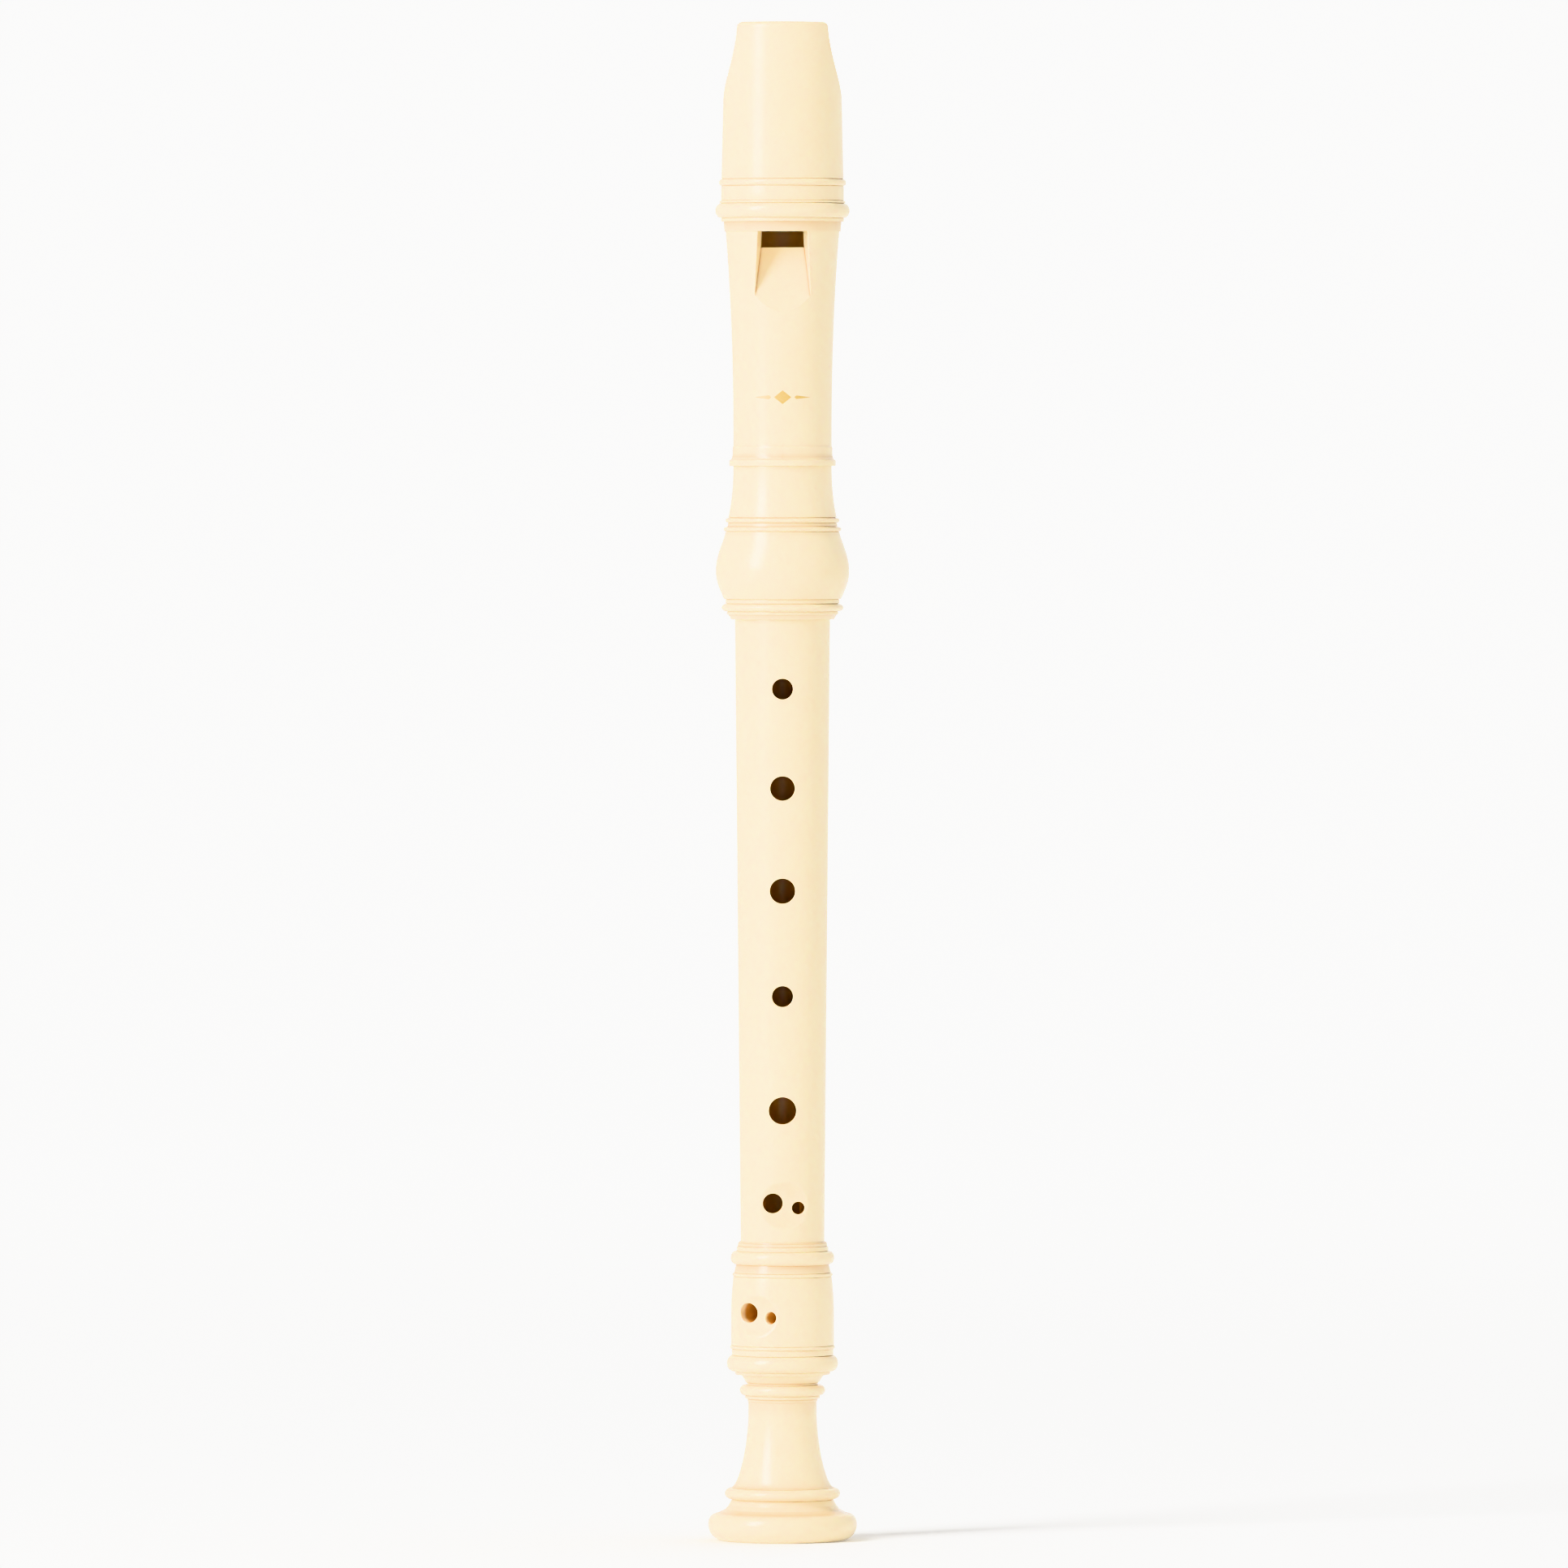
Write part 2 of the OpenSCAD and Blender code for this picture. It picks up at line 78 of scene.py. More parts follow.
def eased(profile, reach=0.08, steps=4):
    """Profile with every corner over 12 degrees rounded: the corner gives way to a
    parabola that starts and ends `reach` from it, or 0.45 along a shorter side."""
    path = distinct(np.asarray(profile, float))
    corner = path[1:-1]
    sides = [path[:-2] - corner, path[2:] - corner]
    lengths = [np.linalg.norm(side, axis=1, keepdims=True) for side in sides]
    start, end = (corner + side * np.minimum(reach / length, 0.45)
                  for side, length in zip(sides, lengths))
    straight = -(sides[0] * sides[1]).sum(1, keepdims=True) / (lengths[0] * lengths[1])
    kept = straight > math.cos(math.radians(12))
    start, end = (np.where(kept, corner, point)[:, None] for point in (start, end))
    curve = bend(start, corner[:, None], end, np.linspace(0, 1, steps)[None, :, None])
    return distinct(np.concatenate([path[:1], curve.reshape(-1, 2), path[-1:]]))


def mark_grooves(mesh):
    """Stores how hollow the surface is at each point as the attribute "groove", the
    mask of the painted shade in grooves: the mean climb to its neighbours along its own normal,
    spread a little outward."""
    count = len(mesh.vertices)
    place, normal = np.empty((count, 3)), np.empty((count, 3))
    mesh.vertices.foreach_get("co", place.ravel())
    mesh.vertices.foreach_get("normal", normal.ravel())
    ends = np.empty((len(mesh.edges), 2), np.int32)
    mesh.edges.foreach_get("vertices", ends.ravel())
    a, b = ends.T
    run = place[b] - place[a]
    run /= np.linalg.norm(run, axis=1, keepdims=True)

    def mean(from_a, from_b):
        """Mean of what a point's edges bring it: one value for each end of an edge."""
        total = np.bincount(a, from_a, count) + np.bincount(b, from_b, count)
        return total / np.maximum(np.bincount(ends.ravel(), minlength=count), 1)

    hollow = mean((run * normal[a]).sum(1), -(run * normal[b]).sum(1)) / 0.07
    hollow = hollow.clip(0, 1)
    for _ in range(2):
        hollow = np.maximum(hollow, 0.8 * mean(hollow[b], hollow[a]))
    mesh.attributes.new("groove", "FLOAT", "POINT").data.foreach_set("value", hollow)


def quads(sheet, start=0):
    """Corners of the quads between neighbouring points of a sheet, whose points are
    numbered row by row from start."""
    rows, cols = sheet.shape[:2]
    at = start + np.arange(rows * cols).reshape(rows, cols)
    return np.stack([at[:-1, :-1], at[:-1, 1:], at[1:, 1:], at[1:, :-1]], -1).reshape(-1, 4)


def skin(name, sheets, body, node, material, sharp=32, weld=0.002):
    """Closed piece from sheets of points in millimetres: neighbours in a sheet make
    quads, and sheets that share an edge are welded. It stands for one CAD node."""
    faces, start = [], 0
    for sheet in sheets:
        faces.append(quads(sheet, start))
        start += sheet.shape[0] * sheet.shape[1]
    points = np.concatenate([sheet.reshape(-1, 3) for sheet in sheets])
    mesh = bpy.data.meshes.new(name)
    mesh.from_pydata((points * MM).tolist(), [], np.concatenate(faces).tolist())
    work = bmesh.new()
    work.from_mesh(mesh)
    bmesh.ops.remove_doubles(work, verts=work.verts, dist=weld * MM)
    bmesh.ops.dissolve_degenerate(work, edges=work.edges, dist=1e-7)
    bmesh.ops.recalc_face_normals(work, faces=work.faces)
    work.to_mesh(mesh)
    work.free()
    mesh.shade_smooth()
    mesh.set_sharp_from_angle(angle=math.radians(sharp))
    mark_grooves(mesh)
    piece = bpy.data.objects.new(name, mesh)
    bpy.context.scene.collection.objects.link(piece)
    mesh.materials.append(material)
    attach(piece, body)
    if node:
        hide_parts(node)
    return piece


def softer_min(first, second, blend=0.16):
    """The smaller of two surfaces, rounded where they are less than `blend` apart:
    the smaller less blend/4 times the square of one minus the gap over blend."""
    near = np.maximum(1 - np.abs(first - second) / blend, 0)
    return np.minimum(first, second) - near**2 * blend / 4


def dished(radius_at, turn, centre, half_width=5.05, scoop=9.2):
    """A round wall with a finger dish: a level cylinder of radius `scoop`, square to
    the hole's line, cuts it `half_width` wide on each side at height `centre`."""
    floor = math.sqrt(radius_at(centre) ** 2 - half_width**2)

    def radius(angle, height):
        rise = np.clip(height - centre, -0.95 * scoop, 0.95 * scoop)
        depth = floor + scoop - np.sqrt(scoop**2 - rise**2)
        facing = np.maximum(np.cos(angle - turn), 0.05)
        return softer_min(radius_at(height) + 0 * angle, depth / facing)

    return radius


def on_wall(radius, angle, height):
    """Points of a wall whose radius is a function of angle and height: the radius
    times the sine of the angle across, and times its cosine towards the front."""
    r = radius(angle, height)
    return np.stack([r * np.sin(angle), -r * np.cos(angle), height + 0 * angle], -1)


def angle_of(radius, turn, across, height):
    """Angle where a wall lies `across` to the side of the line at `turn`: the angle
    whose sine is across over radius, corrected until it settles."""
    angle = turn + 0 * across
    for _ in range(40):
        step = np.arcsin(np.clip(across / radius(angle, height), -0.999, 0.999))
        angle = 0.5 * (angle + turn + step)
    return angle


def drilled(outer, bore, hole, first, last, lines, rings=9, edge=0.16):
    """Sheets of one window of the wall, from column `first` to `last`, round a hole
    (turn, sideways shift, height, radius): outside, rounded edge with the hole's
    wall, and bore. Each point of the window's rim looks at the hole in one direction,
    and its line of points runs straight to the hole's circle in that direction."""
    turn, shift, height, radius = hole
    a = column_angle * np.arange(first, last + 1)
    side = np.full(len(lines) - 1, 1.0)
    rim_a = np.r_[a[:-1], a[-1] * side, a[::-1][:-1], a[0] * side, a[0]]
    ends = np.full(len(a) - 1, 1.0)
    rim_z = np.r_[lines[0] * ends, lines[:-1], lines[-1] * ends, lines[::-1][:-1], lines[0]]
    middle = angle_of(outer, turn, np.array(shift), np.array(height))
    scale = outer(middle, np.array(height))
    way = np.arctan2(rim_z - height, (rim_a - middle) * scale)

    def loop(wall, r):
        """Circle of radius r about the hole's line: across, height, wall's angle."""
        across, z = shift + r * np.cos(way), height + r * np.sin(way)
        return across, z, angle_of(wall, turn, across, z)

    def spread(wall, r):
        """Sheet on the wall from the circle out to the rim, closer near the hole."""
        _, z, angle = loop(wall, r)
        s = (np.linspace(0, 1, rings) ** 1.15)[:, None]
        return on_wall(wall, angle + (rim_a - angle) * s, z + (rim_z - z) * s)

    def placed(across, depth, z):
        """Points at a shift across and a depth along the hole's line, turned to it."""
        x = across * math.cos(turn) + depth * math.sin(turn)
        y = across * math.sin(turn) - depth * math.cos(turn)
        return np.stack([x, y, z], -1)

    throat = []
    for t in np.linspace(0, math.pi / 2, 6):
        across, z, angle = loop(outer, radius + edge * (1 - math.sin(t)))
        depth = outer(angle, z) * np.cos(angle - turn) - edge * (1 - math.cos(t))
        throat.append(placed(across, depth, z))
    _, _, bore_angle = loop(bore, radius)
    bore_depth = bore(bore_angle, z) * np.cos(bore_angle - turn)
    for s in np.linspace(0, 1, 7)[1:]:
        throat.append(placed(across, depth + (bore_depth - depth) * s, z))
    return [spread(outer, radius + edge), np.stack(throat), spread(bore, radius)]


def pierced(outer, bore, low, high, bands, step=2.5):
    """Wall sheets of a tube from height low to high, outside and bore. Each band is
    (lowest, highest, rows, windows), and a window is (first, last column, hole)."""
    sheets, level = [], low

    def plain(span, lines):
        """Outside and bore sheets over a span of angles, a row for each height."""
        return [on_wall(wall, span + 0 * lines[:, None], lines[:, None])
                for wall in (outer, bore)]

    for bottom, top, rows, windows in [*bands, (high, high, 0, [])]:
        if bottom > level + 1e-6:
            sheets += plain(all_round, np.linspace(level, bottom, 2 + int((bottom - level) / step)))
        lines = np.linspace(bottom, top, rows + 1)
        if rows and not windows:
            sheets += plain(all_round, lines)
        for k, (first, last, hole) in enumerate(windows):
            sheets += drilled(outer, bore, hole, first, last, lines)
            following = windows[k + 1][0] if k + 1 < len(windows) else windows[0][0] + columns
            if following > last:
                sheets += plain(column_angle * np.arange(last, following + 1), lines)
        level = top
    return sheets


def fresh(name):
    """New material, its nodes, links and shader, and the piece's own coordinates."""
    made = bpy.data.materials.new(name)
    made.use_nodes = True
    nodes, links = made.node_tree.nodes, made.node_tree.links
    place = nodes.new("ShaderNodeTexCoord").outputs["Object"]
    return made, nodes, links, nodes["Principled BSDF"], place


def cloud(nodes, links, place, size, detail):
    """Cloudy noise, with clouds about `size` across."""
    noise = nodes.new("ShaderNodeTexNoise")
    noise.inputs["Scale"].default_value = 1 / size
    noise.inputs["Detail"].default_value = detail
    links.new(place, noise.inputs["Vector"])
    return noise.outputs["Fac"]


# Painted shade: amber-brown tints that darken the grooves and the inside of the bore and holes.
groove_shade_tint, bore_shade_tint = (0.45, 0.24, 0.09), (0.62, 0.33, 0.11)


def plastic(name, colour, deep, roughness=0.24, flow=0.012, bore_shade_r=None, bore_shade_back=0):
    """Polished moulded plastic: a faint cloudy drift between two tints of the
    colour, a fine waviness of the surface and slightly uneven gloss. Grooves get a
    painted shade of amber-brown, and so does the wall nearer than the given radius to
    the upright line that stands the given offset behind the axis: painted shade in the bore."""
    made, nodes, links, shader, place = fresh(name)

    def mixed(first, second, factor):
        """Colour from the first to the second as the factor goes from 0 to 1."""
        mix = nodes.new("ShaderNodeMix")
        mix.data_type = "RGBA"
        links.new(factor, mix.inputs["Factor"])
        for key, value in (("A", first), ("B", second)):
            if isinstance(value, tuple):
                mix.inputs[key].default_value = (*value, 1)
            else:
                links.new(value, mix.inputs[key])
        return mix.outputs["Result"]

    def ranged(value, low, high, to_low, to_high):
        """Value moved in proportion from low..high to to_low..to_high, and held."""
        node = nodes.new("ShaderNodeMapRange")
        for key, number in (("From Min", low), ("From Max", high),
                            ("To Min", to_low), ("To Max", to_high)):
            node.inputs[key].default_value = number
        links.new(value, node.inputs["Value"])
        return node.outputs["Result"]

    tint = mixed(colour, deep, cloud(nodes, links, place, flow, 3))
    # Painted shade: grooves darken towards amber-brown as far as they are hollow.
    groove = nodes.new("ShaderNodeAttribute")
    groove.attribute_name = "groove"
    tint = mixed(tint, groove_shade_tint, ranged(groove.outputs["Fac"], 0, 1, 0, 0.9))
    # Painted shade: the bore and the holes' walls inside the given radius turn darker amber-brown.
    if bore_shade_r:
        flat = nodes.new("ShaderNodeVectorMath")
        flat.operation = "MULTIPLY_ADD"
        flat.inputs[1].default_value = (1, 1, 0)
        flat.inputs[2].default_value = (0, -bore_shade_back, 0)
        links.new(place, flat.inputs[0])
        length = nodes.new("ShaderNodeVectorMath")
        length.operation = "LENGTH"
        links.new(flat.outputs["Vector"], length.inputs[0])
        inward = ranged(length.outputs["Value"], bore_shade_r, bore_shade_r - 0.001, 0, 1)
        tint = mixed(tint, bore_shade_tint, inward)
    links.new(tint, shader.inputs["Base Color"])
    sheen = cloud(nodes, links, place, 0.004, 4)
    links.new(ranged(sheen, 0, 1, roughness - 0.05, roughness + 0.07), shader.inputs["Roughness"])
    bump = nodes.new("ShaderNodeBump")
    bump.inputs["Strength"].default_value = 0.05
    bump.inputs["Distance"].default_value = 0.0002
    links.new(cloud(nodes, links, place, 0.0012, 2), bump.inputs["Height"])
    links.new(bump.outputs["Normal"], shader.inputs["Normal"])
    shader.inputs["IOR"].default_value = 1.53
    shader.inputs["Subsurface Weight"].default_value = 0.25
    shader.inputs["Subsurface Radius"].default_value = (1.0, 0.55, 0.25)
    shader.inputs["Subsurface Scale"].default_value = 0.0006
    return made


shell_tints = (0.90, 0.76, 0.51), (0.885, 0.735, 0.48)
ivory = plastic("ivory_abs", *shell_tints)
# The same ivory with painted shade inside the bore and the holes' walls.
bored_ivory = plastic("bored_ivory_abs", *shell_tints, bore_shade_r=0.0075)

tube_low_r, tube_top_r = 8.97, 10.19
upper_tenon_r, lower_tenon_r = 8.25, 7.2
bore_low_r, bore_top_r = 5.0, 6.4
groove_depth, groove_low, groove_high = 0.7, 3.98, 6.62
end_run = 0.6  # plain tube at each end that is drawn with the tenon


def tube_radius(height):
    """Radius of the tube's outside at a height, which tapers evenly between its ends."""
    share = (height - tube_low) / (tube_high - tube_low)
    return tube_low_r + (tube_top_r - tube_low_r) * share


def bore_radius(angle, height):
    """Radius of the bore, which tapers evenly and is the same all the way round."""
    share = (height - tenon_low) / (tenon_high - tenon_low)
    return bore_low_r + (bore_top_r - bore_low_r) * share + 0 * angle


def tenon(shoulder, end, radius, tube_r):
    """Profile of a tenon from its shoulder on the tube to the chamfered mouth of the
    bore: a flat shoulder, a groove for the seal ring, and a lead-in at the end."""
    out = math.copysign(1, end - shoulder)
    bore_end, inside = bore_radius(0, end), shoulder - end_run * out
    return [
        [tube_radius(inside), inside],
        [tube_r, shoulder], [radius, shoulder],
        [radius, shoulder + groove_low * out],
        [radius - groove_depth, shoulder + groove_low * out],
        [radius - groove_depth, shoulder + groove_high * out],
        [radius, shoulder + groove_high * out],
        [radius, end - 0.7 * out], [radius - 0.35, end],
        [bore_end + 0.3, end], [bore_end, end - 0.3 * out],
        [bore_radius(0, inside), inside],
    ]


# Diameter of each front hole, and its distance above the tube's lower end
front_holes = [(5.9, 28.4), (4.55, 52.9), (5.45, 75.5), (5.3, 97.5), (4.5, 118.8)]
thumb_diameter, thumb_up = 5.0, 126.6
# Of a double hole: each hole's shift sideways and up from the middle, and its radius
pair_holes = [(-2.34, 0.5, 2.15), (3.11, -0.5, 1.375)]
pair_half, pair_turn, pair_z = 3.4, math.radians(2), tube_low + 8.0
# Half heights of the dish's band and of the windows round the holes, which are shorter
# where two holes stand close, and a window's half width in columns
dish_half, hole_margin, close_half, half_span = 6.0, 2.0, 3.8, 27


def double_hole(turn, height):
    """Two unequal holes side by side about one point, as `drilled` takes them."""
    return [(turn, shift, height + up, r) for shift, up, r in pair_holes]


middle_outer = dished(tube_radius, pair_turn, pair_z)
large, small = double_hole(pair_turn, pair_z)
bands = [
    (pair_z - dish_half, pair_z - pair_half, 10, []),
    (pair_z - pair_half, pair_z + pair_half, 28, [(-24, 4, large), (4, 24, small)]),
    (pair_z + pair_half, pair_z + dish_half, 10, []),
]
for diameter, up in front_holes:
    z = tube_low + up
    half = close_half if thumb_up - up < 10 else diameter / 2 + hole_margin
    bands.append((z - half, z + half, 14, [(-half_span, half_span, (0, 0, z, diameter / 2))]))
z, behind = tube_low + thumb_up, columns // 2
bands.append((z - close_half, z + close_half, 14, [
    (behind - half_span, behind + half_span, (math.pi, 0, z, thumb_diameter / 2))]))
sheets = pierced(middle_outer, bore_radius, tube_low + end_run, tube_high - end_run, bands)
sheets += [
    around(eased(tenon(tube_high, tenon_high, upper_tenon_r, tube_top_r))),
    around(eased(tenon(tube_low, tenon_low, lower_tenon_r, tube_low_r))),
]
middle = skin("middle_tube", sheets, "middle", "middle_joint", bored_ivory)

# ---------------------------------------------------------------- seal rings
# Two soft black rubber rings, one in each tenon's groove. They are greased, so the
# joints turn and slide on them and still hold where they are put.


def grained(name, size, detail, dark, light, gloss, relief=0):
    """Finish with a fine grain: cloudy noise carries the colour from dark to light,
    the roughness across the gloss range, and the surface up to `relief` outward."""
    made, nodes, links, shader, place = fresh(name)
    grain = cloud(nodes, links, place, size, detail)
    shade = nodes.new("ShaderNodeValToRGB")
    for stop, colour in zip(shade.color_ramp.elements, (dark, light)):
        stop.color = (*colour, 1)
    links.new(grain, shade.inputs["Fac"])
    links.new(shade.outputs["Color"], shader.inputs["Base Color"])
    sheen = nodes.new("ShaderNodeMapRange")
    sheen.inputs["To Min"].default_value, sheen.inputs["To Max"].default_value = gloss
    links.new(grain, sheen.inputs["Value"])
    links.new(sheen.outputs["Result"], shader.inputs["Roughness"])
    if relief:
        bump = nodes.new("ShaderNodeBump")
        bump.inputs["Strength"].default_value = 0.2
        bump.inputs["Distance"].default_value = relief
        links.new(grain, bump.inputs["Height"])
        links.new(bump.outputs["Normal"], shader.inputs["Normal"])
    return made


# Matt black rubber with a slightly greasy, uneven sheen
black_rubber = grained("seal_rubber", 1 / 1800, 4, (0.012, 0.012, 0.012), (0.035, 0.034, 0.032),
                       (0.38, 0.6), relief=0.00005)
ring_thick, ring_crown = 0.71, 0.3


def seal(name, node, body, turns=12):
    """Rubber ring with a crowned outer face: half an ellipse from its lower edge to
    its upper edge outside, and a straight wall inside."""
    low, high = (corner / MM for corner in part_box(node))
    outer_r, inner_r = high.x, high.x - ring_thick
    a = np.linspace(0, math.pi, turns)
    middle_z, half = (low.z + high.z) / 2, (high.z - low.z) / 2
    face_r = outer_r - ring_crown + ring_crown * np.sin(a)
    face = np.stack([face_r, middle_z - half * np.cos(a)], -1)
    profile = np.r_[face, [[inner_r, high.z], [inner_r, low.z]], face[:1]]
    ring = skin(name, [around(profile)], body, node, black_rubber)


seal("head_seal_ring", "head_joint_seal", "head_seal")
seal("foot_seal_ring", "foot_joint_seal", "foot_seal")

# ---------------------------------------------------------------- bulb sleeve
# The swelling under the head, turned in the old style and now moulded: a socket rim,
# beads and a groove, the bulb itself, two fine rings, and a neck drawn in to meet
# the barrel. It is welded to the barrel's spigot and takes the upper tenon.
sleeve_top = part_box("bulb_sleeve")[1].z / MM


def bead(r, proud, low, high, steps=17):
    """Half-round moulding on radius r: half an ellipse that stands `proud` of it."""
    a = np.linspace(0, math.pi, steps)
    return np.stack([r + proud * np.sin(a), (low + high) / 2 - (high - low) / 2 * np.cos(a)], -1)


def crown(r_end, z_end, r_top, z_top, power, steps=18):
    """Swelling from its widest radius to its end: the cosine of the share of a
    quarter turn, raised to a power, listed from the widest point outward."""
    t = np.linspace(0, 1, steps)
    swell = np.cos(t * math.pi / 2) ** power
    return np.stack([r_end + (r_top - r_end) * swell, z_top + (z_end - z_top) * t], -1)


def rise(r0, z0, r1, z1, power, steps=18):
    """Curve whose radius follows a power of the height, from (r0, z0) to (r1, z1)."""
    t = np.linspace(0, 1, steps)
    return np.stack([r0 + (r1 - r0) * t**power, z0 + (z1 - z0) * t], -1)


def raised(profile, base):
    """Profile moved up so that its heights count from the base."""
    return np.asarray(profile, float) + [0, base]


socket_r, bulb_r, sleeve_neck_r, sleeve_bore_r = 11.6, 14.3, 10.54, 8.3
low_spigot_r, weld_gap, tenon_end_gap = 8.6, 0.03, 0.4
sleeve_len = sleeve_top - tube_high
socket_depth = tenon_high - tube_high + tenon_end_gap
sleeve_outer = np.concatenate([
    [[socket_r - 0.54, 0], [socket_r, 0.95]],
    [[socket_r + 0.33, 1.05], [socket_r + 0.33, 1.6], [socket_r + 0.1, 1.65]],
    bead(socket_r + 0.4, 1.07, 1.7, 3.3),
    [[socket_r + 0.2, 3.35], [socket_r + 0.59, 3.4], [socket_r + 0.59, 4.2]],
    [[socket_r + 0.35, 4.28]],
    crown(socket_r + 0.95, 4.35, bulb_r, 10.2, 1)[::-1],
    crown(socket_r + 0.6, 18.75, bulb_r, 10.5, 1.25),
    [[socket_r + 0.3, 18.8]],
    bead(socket_r + 0.5, 0.53, 18.85, 19.75),
    [[socket_r + 0.2, 19.9], [socket_r + 0.1, 20.6], [socket_r - 0.1, 20.65]],
    bead(socket_r + 0.1, 0.49, 20.7, 21.7),
    [[socket_r - 0.25, 21.8]],
    rise(sleeve_neck_r, sleeve_len, socket_r, 21.9, 2.2)[::-1],
])
spigot_hole_r = low_spigot_r + weld_gap
sleeve_inner = [
    [spigot_hole_r, sleeve_len], [spigot_hole_r, socket_depth], [sleeve_bore_r, socket_depth],
    [sleeve_bore_r, 0.35], [sleeve_bore_r + 0.3, 0],
]
ring_profile = np.concatenate([sleeve_outer, sleeve_inner, sleeve_outer[:1]])
sleeve = skin("bulb_sleeve_shell", [around(raised(eased(ring_profile), tube_high))],
              "head", "bulb_sleeve", ivory)

# ---------------------------------------------------------------- head barrel
# The sounding tube. Its wall is cut by the window, and below the window a flat ramp
# with flared sides falls to the sharp lip that splits the air. The underside of the
# lip is flat too and runs out into the round bore.
cap_low, tip_z = (corner.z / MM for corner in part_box("beak_cap"))
cap_len, barrel_len = tip_z - cap_low, cap_low - sleeve_top
barrel_bore_r, barrel_top_r, low_spigot_len = 6.55, 12.19, 12.0
top_spigot_r, top_spigot_len, spigot_lead = 10.35, 10.0, 0.3
window_w, window_h, lip_y, lip_edge, lip_under = 8.83, 3.5, 4.85, 0.3, 16.0
ramp_slope, side_draft, side_flare, flare_drop = 0.443, 0.15, 0.059, 18.0
floor_out, floor_in = 4.4, 8.88


def windway_floor(z):
    """Depth of the windway's floor in front of the axis, which rises evenly from the
    barrel's top end to the tip."""
    return floor_out + (floor_in - floor_out) * (z - cap_low) / cap_len


def ramp_depth(drop):
    """Depth of the ramp in front of the axis at a drop below the cap: the lip's edge,
    and from there the slope times the way down."""
    return lip_y + lip_edge / 2 + ramp_slope * np.maximum(drop - window_h, 0)


def side_wall(depth, drop):
    """Half width of the window's slanted side walls, which spread with the depth in
    front of the axis and with the drop below the cap."""
    return window_w / 2 + side_draft * (depth - lip_y) + side_flare * np.minimum(drop, flare_drop)


def meeting(radius, drop):
    """Where the side wall meets a round wall: width and depth, settled in turns."""
    across = 0 * (radius + drop) + window_w / 2
    for _ in range(30):
        across = side_wall(np.sqrt(radius**2 - across**2), drop)
    return across, np.sqrt(radius**2 - across**2)


def between(start, end, shares):
    """Straight runs between two columns of points, one point for each share."""
    return start[:, None] + (end - start)[:, None] * np.asarray(shares)


def mirrored(half, z):
    """Whole rows from their right halves, the left half reversed before the right."""
    x = np.concatenate([-half[0][:, :0:-1], half[0]], 1)
    depth = np.concatenate([half[1][:, :0:-1], half[1]], 1)
    return np.stack([x, -depth, z[:, None] + 0 * x], -1)


floor_shares = np.linspace(0, 1, 19)
wall_shares = np.linspace(0, 1, 13)
round_shares = np.linspace(0, 1, 73)
around_columns = len(wall_shares) + 5 + len(round_shares) - 1


def outside_rows(radius, drop, ramp_round=0.12, wall_round=0.22, edge_round=0.25):
    """Right halves of the barrel's outside from the foot of the side wall to the
    back: wall, rounded edge, round wall. Past the wall's end the ramp's own edge, at
    the root of radius squared less ramp squared, takes the wall's place. The edge's
    rounding starts wall_round down the wall and ends edge_round out from it."""
    edge_x, edge_depth = meeting(radius, drop)
    ramp = ramp_depth(drop)
    low = np.minimum(ramp, radius)
    rim_x = np.sqrt(radius**2 - low**2)
    past = ramp - edge_depth
    inward = np.minimum(np.minimum(ramp_round, 0.5 * np.maximum(past, 0)), rim_x)
    edge_x = np.where(past > 0, rim_x, edge_x)
    edge_depth = np.where(past > 0, low, edge_depth)
    base_x = np.where(past > 0, rim_x - inward, side_wall(low, drop))
    height = edge_depth - low
    slant = (1 - np.minimum(wall_round, 0.6 * height) / np.maximum(height, 1e-6)).clip(0, 1)
    turn_x = np.where(past > 0, base_x, base_x + (edge_x - base_x) * slant)
    turn_depth = low + height * slant * (past <= 0)
    out_x = edge_x + edge_round
    out_depth = np.sqrt(radius**2 - out_x**2)
    t = np.linspace(0, 1, 6)[None, 1:]
    round_x, round_depth = (
        bend(start[:, None], corner[:, None], end[:, None], t)
        for start, corner, end in ((turn_x, edge_x, out_x), (turn_depth, edge_depth, out_depth)))
    angle = between(np.arctan2(out_x, out_depth), 0 * out_x + math.pi, round_shares[1:])
    x = [between(base_x, turn_x, wall_shares), round_x, radius[:, None] * np.sin(angle)]
    depth = [between(low, turn_depth, wall_shares), round_depth, radius[:, None] * np.cos(angle)]
    return np.concatenate(x, 1), np.concatenate(depth, 1)


def bore_half(drop):
    """Right halves of the round bore, from the window's side wall to the back."""
    edge_x, edge_depth = meeting(0 * drop + barrel_bore_r, drop)
    angle = between(np.arctan2(edge_x, edge_depth), 0 * edge_x + math.pi,
                    np.linspace(0, 1, around_columns))
    return barrel_bore_r * np.sin(angle), barrel_bore_r * np.cos(angle)


def with_floor(half, floor_depth):
    """Adds the level floor between the two halves: the depth given for each row, or
    the round wall's own where that is less, the root of radius less across squared."""
    x, depth = half
    floor_x = between(0 * x[:, 0], x[:, 0], floor_shares)
    floor = np.minimum(floor_depth[:, None] + 0 * floor_x, np.sqrt(
        np.maximum(x[:, :1] ** 2 + depth[:, :1] ** 2 - floor_x**2, 0)))
    floor[:, -1] = depth[:, 0]
    return (np.concatenate([floor_x, x[:, 1:]], 1), np.concatenate([floor, depth[:, 1:]], 1))


def one_sided(half, z):
    """Open rows from one edge of the window round the back to the other edge."""
    x = np.concatenate([half[0], -half[0][:, -2::-1]], 1)
    depth = np.concatenate([half[1], half[1][:, -2::-1]], 1)
    return np.stack([x, -depth, z[:, None] + 0 * x], -1)


neck = sleeve_neck_r
swell_from, swell_power = 4.3, 2.3


def barrel_swell(up):
    """Radius of the barrel's outside at a height above its lower end: the neck's, and
    from swell_from on a power of the share of the way to the top end's."""
    share = np.maximum((up - swell_from) / (barrel_len - swell_from), 0)
    return neck + (barrel_top_r - neck) * share**swell_power


